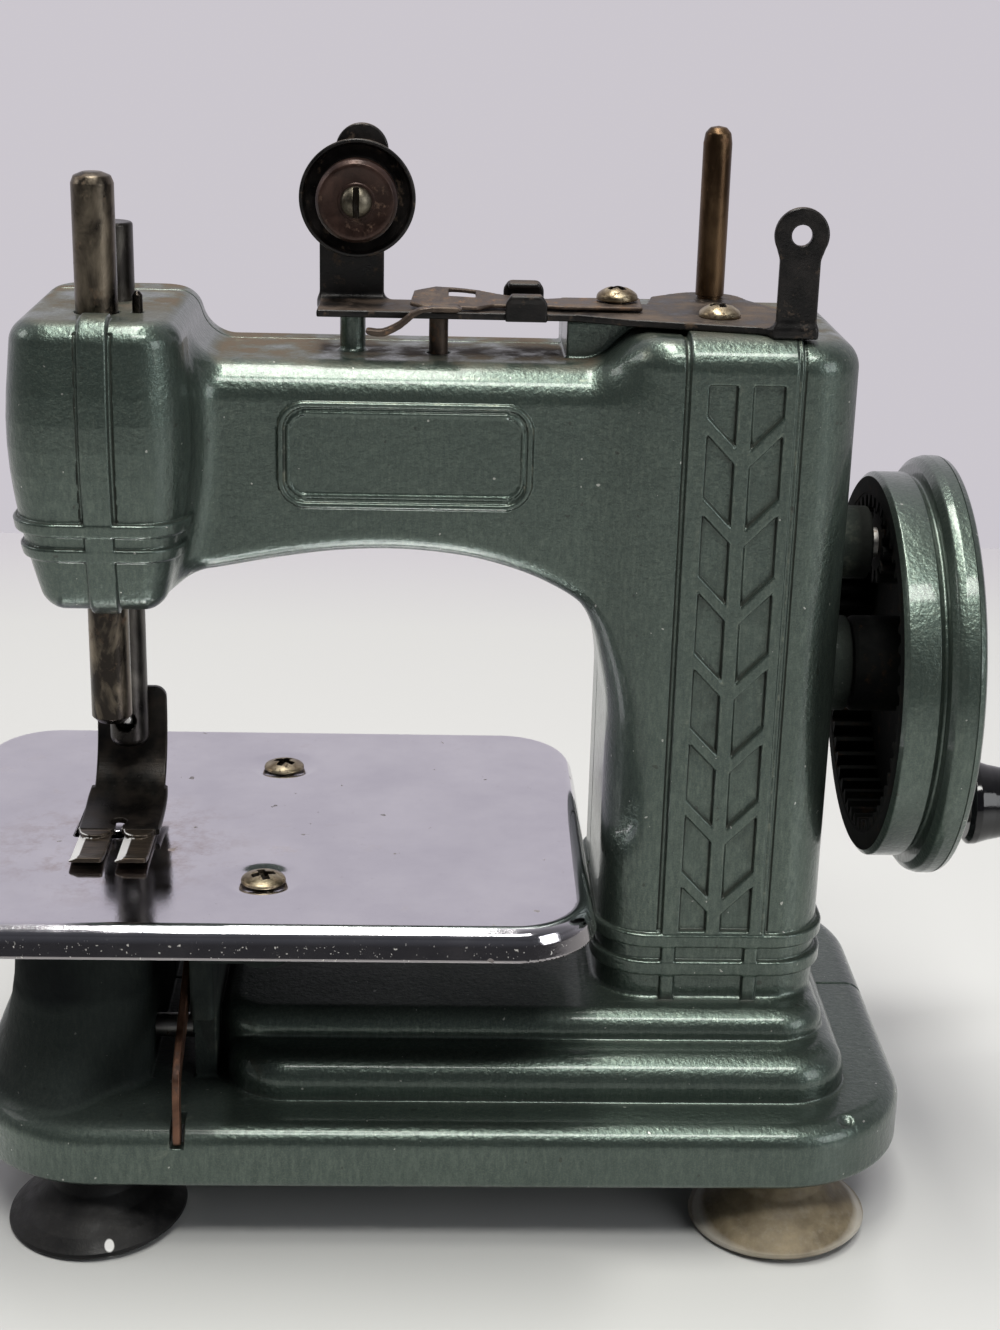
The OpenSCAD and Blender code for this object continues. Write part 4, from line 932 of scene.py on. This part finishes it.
CL = [(46.6, 8.6), (48.6, 7.2), (57.0, 7.2), (59.5, 8.8), (68, 9.2), (70, 8.6), (82.6, 8.8), (82.9, 18.0), (71, 17.0), (68, 15.4), (61, 15.4), (57.5, 16.4), (50.5, 16.8), (47.2, 14.6)]


def clamp_field(P):
    x, y, z = P[:, 0], P[:, 1], P[:, 2]
    lift = (y - 8.6) * 0.15 * sstep(70, 53, x) + 0.2 * sstep(60, 50, x)
    d = ext(poly2(x, y, CL) + 0.6 - 0.6, span(z - lift, 145.17, 145.78), 0.22)
    fin = poly2(x, z, spline([(40.2, 141.6), (42.6, 141.3), (45.4, 142.6), (48.6, 145.0), (54, 145.25), (54, 145.9), (48.2, 145.7), (45.0, 143.5), (42.4, 142.3), (40.2, 142.4)], 3, True))
    d = ur(d, ext(fin, span(y, 4.0, 6.1), 0.25), 0.2)
    d = ur(d, bx(x, y, z, 50, 54, 4.2, 9.2, 145.2, 145.85, 0.25), 0.4)
    cut = np.minimum(rr2(x, y, 52.6, 56.8, 12.2, 15.8, 0.5), np.hypot(x - 79, y - 14.1) - 1.95)
    return ir(d, -cut, 0.12)


solid("clamp_strip", clamp_field, (39.5, 3.8, 141), (83.2, 18.8, 149.4), 0.22, "clamp", M["brown"], ["thread_clamp_spring"], 50000, 0.6)

lathe("tall_spool_pin", round_prof([(2.0, 144.82), (2.0, 145.2), (2.3, 145.35), (2.3, 169.3), (2.05, 170.9, 0.8), (1.3, 171.75, 0.6), (0.0, 172.0)]), "z", (95, 25.6), "root", M["bronze"], ["spool_pin"], 64)
lathe("release_post", round_prof([(0, 127.6), (2.6, 127.6), (2.6, 128.8), (1.5, 128.8), (1.5, 144.3, 0.1), (1.1, 144.84, 0.2), (0, 144.86)]), "z", (51.1, 12.3), "release", M["brown"], ["release_pin"], 48)
lathe("small_head_pin", round_prof([(0, 142.6), (0.8, 142.6), (0.8, 147.6, 0.3), (0.35, 148.15, 0.2), (0, 148.2)]), "z", (6, 0.4), "root", M["bar"], ["head_pin"], 40)

TA = (38.3, 160.8)
lathe("tension_plate_rear", round_prof([(1.75, 16.9), (7.6, 16.9), (8.8, 16.5, 0.3), (8.8, 16.2, 0.1), (7.8, 16.2), (1.75, 16.25)]), "y", TA, "root", M["black"], ["tension_disc_rear"], 96, True)
lathe("tension_plate_front", round_prof([(1.75, 16.0), (6.6, 16.0, 0.6), (8.4, 15.2, 0.8), (9.0, 14.5, 0.3), (9.0, 13.85, 0.25), (8.45, 13.75, 0.2), (8.1, 14.4, 0.5), (6.4, 15.3, 0.6), (1.75, 15.35)]), "y", TA, "root", M["black"], ["tension_disc_front"], 128, True)
lathe("tension_knob_cap", round_prof([(1.75, 10.5), (5.2, 10.5), (5.2, 13.7), (5.7, 13.9, 0.2), (6.25, 13.5, 0.25), (6.25, 10.2, 0.35), (5.75, 9.45, 0.3), (5.2, 9.3), (4.9, 9.42), (2.9, 9.42), (2.75, 9.3), (1.75, 9.3)]), "y", TA, "tension", M["cap"], ["tension_cap"], 128, True)
screw_head("tension_slot_screw", (38.3, 9.25, 160.8), "-y", 2.45, 1.75, "tension", M["slot_brass"], ["tension_screw"], False, 0.0, 10.6, 1.5, 0.25)

# ------------------------------------------------------------------ bars and presser foot
lathe("needle_rod", round_prof([(1.05, 93.9), (1.05, 80.0), (2.3, 80.0), (3.175, 80.9, 0.3), (3.175, 103), (3.175, 130), (3.175, 163.9, 0.4), (2.75, 165.0, 0.5), (1.4, 165.55, 0.8), (0.0, 165.6)]), "z", (0, 0), "needle", M["bar"], ["needle_bar"], 80)


def presser_bar_field(P):
    x, y, z = P[:, 0], P[:, 1], P[:, 2]
    r = np.hypot(x - 0.8, y - 12.5)
    d = ext(r - 3.175, span(z, 71.2, 156.8), np.where(z < 90, 1.5, 0.5))
    d = ir(d, -(np.hypot(x - 0.5, z - 76) - 1.75 + 0.0 * y + np.maximum(0, y - 11.2)), 0.1)
    return ir(d, -np.maximum(np.hypot(x - 0.8, z - 76) - 1.05, 11 - y), 0.05)


solid("presser_rod", presser_bar_field, (-2.4, 9.3, 71.2), (4.0, 15.7, 156.8), 0.3, "presser", M["presser"], ["presser_bar"], 40000, 0.5)
lathe("presser_screw_tip", round_prof([(0, 10.1), (0.55, 10.15, 0.2), (0.95, 10.6, 0.2), (0.95, 17.2), (2.0, 17.2), (2.0, 18.3, 0.3), (1.5, 18.6, 0.2), (0, 18.65)]), "y", (0.8, 76.0), "presser", M["worn"], ["presser_foot_screw"], 40)

FOOTC = spline([(16.35, 79.6), (16.35, 76.0), (16.1, 73.0), (15.2, 69.6), (13.4, 66.4), (10.8, 63.9), (7.4, 62.3), (3.4, 61.6), (-1.0, 61.35), (-4.4, 61.3)], 5)


def curve2(y, z, pts, half):
    d = np.full(y.shape, 1e9, f32)
    for (ay, az), (by, bz) in zip(pts[:-1], pts[1:]):
        ey, ez = by - ay, bz - az
        t = np.clip(((y - ay) * ey + (z - az) * ez) / (ey * ey + ez * ez), 0, 1)
        d = np.minimum(d, np.hypot(y - ay - ey * t, z - az - ez * t))
    return d - half


def foot_field(P):
    x, y, z = P[:, 0], P[:, 1], P[:, 2]
    sheet = curve2(y, z, FOOTC, 0.52)
    wide = np.where(z > 64, 0.0, sstep(66, 62.5, z))
    plan = np.maximum(-5.0 - 0.9 * wide - x, x - (6.6 + 0.6 * wide))
    d = ext(sheet, plan, 0.3)
    # rounded upper corners
    d = np.maximum(d, np.where(z > 74, rr2(x, z, -5.0, 6.6, 60, 79.9, 2.0), -9))
    # round-ended tongues over the toes
    slot = np.maximum(np.abs(x - 0.55) - 0.85, y + 0.2)
    tong = np.minimum(ext(np.maximum(np.hypot((x + 3.1) / 1.0, np.maximum(-(y + 1.9), 0)) - 2.55, y - 4), span(z, 60.9, 61.75), 0.2), ext(np.maximum(np.hypot((x - 3.95) / 1.0, np.maximum(-(y + 1.9), 0)) - 2.5, y - 4), span(z, 60.9, 61.75), 0.2))
    d = np.maximum(d, -(y + 1.9))
    d = ur(d, tong, 0.2)
    # two toes with a worn bevel along the left edge and a lifted tip
    up = 0.55 * sstep(-10.2, -13.2, y)
    for x0, x1 in ((-5.75, -0.45), (1.45, 6.5)):
        toe = ext(rr2(x, y, x0, x1, -13.2, 3.0, 0.5), span(z - up, 60.36, 61.15), 0.12)
        bev = (x0 + 1.45 - x) * 0.40 + (z - up - 61.15) * 0.917
        toe = np.maximum(toe, bev)
        d = ur(d, toe, 0.12)
    cut = np.minimum(np.hypot(x - 0.2, y - 0.9) - 1.35, np.maximum(np.abs(x - 0.5) - 0.55, y))
    cut = np.maximum(cut, z - 64)
    hole = np.maximum(np.hypot(x - 0.8, z - 76) - 1.1, 14 - y)
    return ir(ir(d, -cut, 0.15), -hole, 0.05)


# bright marks the toes' left bevels, worn bare steel with a painted highlight; toe marks the toes' tops, with a painted
# streaked reflection
solid("cloth_foot", foot_field, (-6.2, -13.6, 60.3), (7.4, 17.1, 80.0), 0.17, "presser", M["foot"], ["presser_foot"], 70000, 0.5, lambda V, n: {"bright": ((n[:, 0] < -0.2) & (n[:, 2] > 0.3) & (V[:, 1] < -1.5) & (V[:, 2] < 62)).astype(float), "toe": ((V[:, 1] < -2.0) & (V[:, 2] < 61.9)).astype(float)})

# ------------------------------------------------------------------ spring on the presser bar
def coil(name, at, z0, z1, r, w, turns, body, mat, stands):
    """Round-wire spring with flat-ended closing turns."""
    seg, sides = 28, 10
    n = int(turns * seg)
    V, faces = [], []
    for i in range(n + 1):
        t = i / n
        e = min(1.0, max(0.0, (t * turns - 0.8) / (turns - 1.6)))
        z = z0 + w + (z1 - z0 - 2 * w) * (0.06 * t + 0.94 * e)
        a = 2 * math.pi * i / seg
        for k in range(sides):
            b = 2 * math.pi * k / sides
            q = r + w * math.cos(b)
            V.append((at[0] + q * math.cos(a), at[1] + q * math.sin(a), z + w * math.sin(b)))
    for i in range(n):
        for k in range(sides):
            l = (k + 1) % sides
            faces.append((i * sides + k, (i + 1) * sides + k, (i + 1) * sides + l, i * sides + l))
    faces.append(tuple(range(sides)))
    faces.append(tuple(range((n + 1) * sides - 1, n * sides - 1, -1)))
    return add_mesh(name, np.array(V), faces, body, mat, stands)


# its length with the bar raised, so that it stays inside the head over the whole lift
coil("presser_coil", (0.8, 12.5), 116.3, 136.0, 3.95, 0.4, 7, "presser", M["spring"], ["presser_spring"])

# ------------------------------------------------------------------ handwheel and knob
WZ = 85.7
# inner faces of the wheel get the near-black finish, partly dirty metal and partly painted shade; on the ring's left
# face, facing the column, it is painted shade
def inner_dark(o):
    o.data.materials.append(M["inside"])
    for q in o.data.polygons:
        x, y, z = q.center
        r = math.hypot(y * 1000 + NY - MID, z * 1000 - WZ)
        if (r < 28.8 and x * 1000 + NX < 131) or (r < 31.5 and q.normal[0] < -0.75 and x * 1000 + NX < 125):
            q.material_index = 1


lathe("wheel_casting", round_prof([(4.06, 120.4), (7.4, 120.4, 0.2), (8.0, 121.0, 0.4), (8.0, 129.6, 0.8), (9.5, 130.2, 0.8), (27.6, 130.2), (28.5, 129.6, 0.4), (28.5, 123.05, 0.1), (31.2, 123.0, 0.3), (32.1, 123.7, 0.5), (32.1, 128.6, 0.3), (31.2, 129.3, 0.4), (31.2, 129.9, 0.3), (33.3, 129.9, 0.5), (34.5, 130.8, 1.0), (34.9, 132.1, 1.0), (34.9, 133.7), (34.68, 133.8), (34.68, 133.95), (34.85, 134.05), (34.5, 134.9, 0.6), (33.6, 135.3, 0.5), (32.2, 135.3, 0.4), (31.2, 134.2, 0.5), (30.4, 133.1, 0.8), (11, 133.0), (9.6, 133.2, 0.3), (4.06, 133.2)]), "x", (MID, WZ), "wheel", M["wheel"], ["handwheel"], 160, True)
inner_dark(bpy.data.objects["wheel_casting"])


def gear_ring(name, n, tip, root, outer, x0, x1, body, mat, inside=True):
    prof = []
    for i in range(n):
        c = 2 * math.pi * i / n
        p = 2 * math.pi / n
        for a, r in ((-0.36, root), (-0.27, root + (tip - root) * 0.35), (-0.17, root + (tip - root) * 0.8), (-0.13, tip), (0.13, tip), (0.17, root + (tip - root) * 0.8), (0.27, root + (tip - root) * 0.35), (0.36, root)):
            prof.append((r, c + a * p))
    k = len(prof)
    V = []
    for x in (x0, x1):
        V += [(x, MID + r * math.sin(a), WZ + r * math.cos(a)) for r, a in prof]
    for x in (x0, x1):
        V += [(x, MID + outer * math.sin(a), WZ + outer * math.cos(a)) for r, a in prof]
    Fc = []
    for i in range(k):
        j = (i + 1) % k
        Fc += [(i, j, k + j, k + i), (i, 2 * k + i, 2 * k + j, j), (k + i, k + j, 3 * k + j, 3 * k + i), (2 * k + i, 3 * k + i, 3 * k + j, 2 * k + j)]
    o = add_mesh(name, np.array(V), Fc, body, mat, (), True)
    import bmesh
    bm = bmesh.new()
    bm.from_mesh(o.data)
    bmesh.ops.recalc_face_normals(bm, faces=bm.faces)
    bm.to_mesh(o.data)
    bm.free()
    o.data.polygons.foreach_set("use_smooth", np.ones(len(o.data.polygons), bool))
    o.data.set_sharp_from_angle(angle=math.radians(30))
    return o


gear_ring("wheel_ring_teeth", 54, 26.3, 28.2, 28.75, 123.2, 129.9, "wheel", M["inside"])
lathe("turning_knob", round_prof([(2.36, 142.4), (6.3, 142.4, 0.3), (7.2, 143.1, 0.5), (7.2, 144.2, 0.6), (6.5, 146.5, 2.0), (5.9, 149.5, 3.0), (6.0, 152.5, 3.0), (6.5, 155.5, 1.5), (6.2, 158.0, 1.2), (5.2, 159.5, 0.8), (3.9, 160.0, 0.2), (3.5, 159.8), (3.5, 157.2), (2.36, 157.2)]), "x", (MID, WZ - 25.0), "knob", M["knob"], ["crank_knob"], 72, True)


# ------------------------------------------------------------------ stitch lever and feet
def lever_field(P):
    x, y, z = P[:, 0], P[:, 1], P[:, 2]
    pts = spline([(6.2, 46.4), (0, 46.6), (-12, 40.4), (-25.4, 33.4), (-28.1, 30.2), (-29.0, 24), (-29.2, 20.4), (-27.0, 20.2), (-26.2, 28.4), (-23.6, 30.6), (-10.6, 36.4), (1.6, 41.4), (6.2, 41.6)], 4, True)
    d = ext(poly2(y, z, pts), span(x, 11.4, 12.6), 0.25)
    return ir(d, -(np.hypot(y - 3, z - 44) - 1.56), 0.1)


solid("stitch_strip", lever_field, (11.3, -30, 20), (12.7, 8, 47.2), 0.22, "lever", M["copper"], ["stitch_lever"], 20000, 0.4)

CUP = [(0.0, 4.4), (4.0, 3.7), (9.2, 1.7), (12.6, 0.25), (13.4, 0.02), (14.1, 0.1, 0.1), (14.4, 0.55, 0.2), (14.25, 1.1, 0.2), (13.8, 1.5, 0.2), (12.4, 2.9, 1.2), (9.6, 4.9, 2.0), (7.4, 7.2, 1.6), (6.3, 9.6, 1.0), (6.0, 12.28)]


def cup(name, px, py, node, key, tilt=(0, 0)):
    o = lathe(name, round_prof(CUP), "z", (px, py), "root", M[key], [node], 96)
    if tilt != (0, 0):
        n = len(o.data.vertices)
        co = np.empty(n * 3, f32)
        o.data.vertices.foreach_get("co", co)
        co = co.reshape(-1, 3)
        u, v = co[:, 0] - (px - NX) / 1000, co[:, 1] - (py - NY) / 1000
        w = np.clip(1 - co[:, 2] / 0.0115, 0, 1)
        lift = w * (u * tilt[0] + v * tilt[1] + 0.0141 * math.hypot(*tilt))
        co[:, 2] += lift
        o.data.vertices.foreach_set("co", co.ravel())
        o.data.update()
    return o


cup("cup_front_left", -2.5, MID - 33.25, "foot_front_left", "rubber_black", (0.055, 0.04))
cup("cup_front_right", 108.9, MID - 33.25, "foot_front_right", "rubber_brown", (0.05, -0.02))
cup("cup_rear_left", -2.5, MID + 33.25, "foot_rear_left", "rubber_black")
cup("cup_rear_right", 108.9, MID + 33.25, "foot_rear_right", "rubber_brown")

# ------------------------------------------------------------------ plain finish for what stays as built
KEEP = {
    "steel": ["casing_screws", "head_pin", "drive_shaft", "crank_disc", "drive_crank_pin", "beam_pivot", "rocker_beam", "beam_stud", "needle_bar_collar", "collar_screw", "presser_collar", "link_rod", "looper_shaft", "looper_rocker", "looper", "feed_dog", "lever_pin", "handwheel_axle", "crank_pin", "tension_screw", "presser_foot_screw"],
    # pinion and bush inside the wheel get the near-black finish, partly painted shade
    "inside": ["shaft_bush", "drive_pinion"],
    "spring": ["tension_spring", "presser_spring"],
    "nickel": ["plate_screws", "bracket_screws", "needle_clamp_screw"],
    "plate": ["cloth_plate"],
    "black": ["thread_bracket", "tension_disc_rear", "tension_disc_front", "presser_foot"],
    "brown": ["tension_cap", "thread_clamp_spring", "release_pin"],
    "bronze": ["spool_pin"],
    "bar": ["needle_bar"],
    "presser": ["presser_bar"],
    "copper": ["stitch_lever"],
    "knob": ["crank_knob"],
    "wheel": ["handwheel"],
    "rubber_black": ["foot_front_left", "foot_rear_left"],
    "rubber_brown": ["foot_front_right", "foot_rear_right"],
    "paint": ["front_casting", "rear_casting"],
}
for key, names in KEEP.items():
    for nm in names:
        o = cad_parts[nm]
        o.data.materials.clear()
        o.data.materials.append(M[key])

# ------------------------------------------------------------------ stage, light, camera
def floor_finish(name, near, far, rough):
    m = Mat(name)
    c = m.mix(m.ramp(m.noise(5, 2, 0.5), [(0.3, 0.0), (0.7, 1.0)]), tuple(v * 0.985 for v in near), near)
    c = m.mix(m.ramp(m.axis(1), [(0.28, 0.0), (0.37, 1.0)]), c, far)
    m.set(Base_Color=c, Roughness=rough)
    return m.m


me = bpy.data.meshes.new("floor")
me.from_pydata([(-2.5, -1.8, 0), (2.5, -1.8, 0), (2.5, 0.38, 0), (-2.5, 0.38, 0)], [], [(0, 1, 2, 3)])
o = bpy.data.objects.new("floor", me)
bpy.context.scene.collection.objects.link(o)
me.materials.append(floor_finish("floor_white", (0.56, 0.565, 0.56), (0.50, 0.485, 0.52), 0.25))


def area(name, loc, target, size, power, color=(1, 1, 1), size_y=None):
    l = bpy.data.lights.new(name, "AREA")
    l.shape = "RECTANGLE"
    l.size, l.size_y = size, size_y or size
    l.energy, l.color = power, color
    o = bpy.data.objects.new(name, l)
    o.location = loc
    o.rotation_mode = "QUATERNION"
    o.rotation_quaternion = (Vector(target) - Vector(loc)).to_track_quat("-Z", "Y")
    bpy.context.scene.collection.objects.link(o)


area("top_light", (-0.10, 0.0, 1.30), (0, 0.0, 0.05), 1.0, 15.0, (1.0, 0.985, 0.92), 0.24)
area("front_top", (0.12, -0.62, 1.10), (0, 0.0, 0.05), 0.6, 7.5, (1.0, 0.99, 0.95), 0.2)
area("left_light", (-0.85, 0.05, 0.60), (0, 0, 0.07), 0.32, 1.3, (1.0, 0.98, 0.97))
area("right_panel", (0.78, -0.60, 0.40), (0.05, 0, 0.07), 0.42, 2.5, (0.97, 0.985, 1.0), 0.5)
w = bpy.data.worlds.new("studio")
w.use_nodes = True
t = w.node_tree
bg = t.nodes["Background"]
tc = t.nodes.new("ShaderNodeTexCoord")
sx = t.nodes.new("ShaderNodeSeparateXYZ")
rp = t.nodes.new("ShaderNodeValToRGB")
mr = t.nodes.new("ShaderNodeMapRange")
t.links.new(tc.outputs["Generated"], sx.inputs[0])
t.links.new(sx.outputs[1], mr.inputs[0])
mr.inputs[1].default_value, mr.inputs[2].default_value = -1.0, 1.0
t.links.new(mr.outputs[0], rp.inputs[0])
stops = [(0.25, (0.067, 0.069, 0.076)), (0.52, (0.20, 0.195, 0.205)), (0.66, (0.42, 0.405, 0.43)), (0.82, (0.575, 0.55, 0.592)), (0.96, (0.60, 0.572, 0.617))]
while len(rp.color_ramp.elements) < len(stops):
    rp.color_ramp.elements.new(0.5)
for el, (pos, col) in zip(rp.color_ramp.elements, stops):
    el.position, el.color = pos, (*col, 1)
t.links.new(rp.outputs[0], bg.inputs[0])
bg.inputs[1].default_value = 1.0
bpy.context.scene.world = w

cam = bpy.data.cameras.new("camera")
cam.lens, cam.sensor_width, cam.sensor_fit = 56.98, 36.0, "AUTO"
cam.clip_start, cam.clip_end = 0.01, 20
co = bpy.data.objects.new("camera", cam)
bpy.context.scene.collection.objects.link(co)
yaw, pitch, roll = (math.radians(v) for v in (2.08, 19.03, 1.47))
cy_, sy_, cp_, sp_, cr_, sr_ = math.cos(yaw), math.sin(yaw), math.cos(pitch), math.sin(pitch), math.cos(roll), math.sin(roll)
R = np.array([[cr_, -sr_, 0], [sr_, cr_, 0], [0, 0, 1]]) @ np.array([[1, 0, 0], [0, cp_, -sp_], [0, sp_, cp_]]) @ np.array([[1, 0, 0], [0, 0, -1], [0, 1, 0]], float) @ np.array([[cy_, -sy_, 0], [sy_, cy_, 0], [0, 0, 1]])
loc = ((50.12116177 - NX) / 1000, (-316.05398708 - NY) / 1000, (34.11981243 + 165) / 1000)
right, up, back = R[0], -R[1], -R[2]
co.matrix_world = Matrix([[right[0], up[0], back[0], loc[0]], [right[1], up[1], back[1], loc[1]], [right[2], up[2], back[2], loc[2]], [0, 0, 0, 1]])
bpy.context.scene.camera = co
bpy.context.scene.view_settings.view_transform = "Standard"
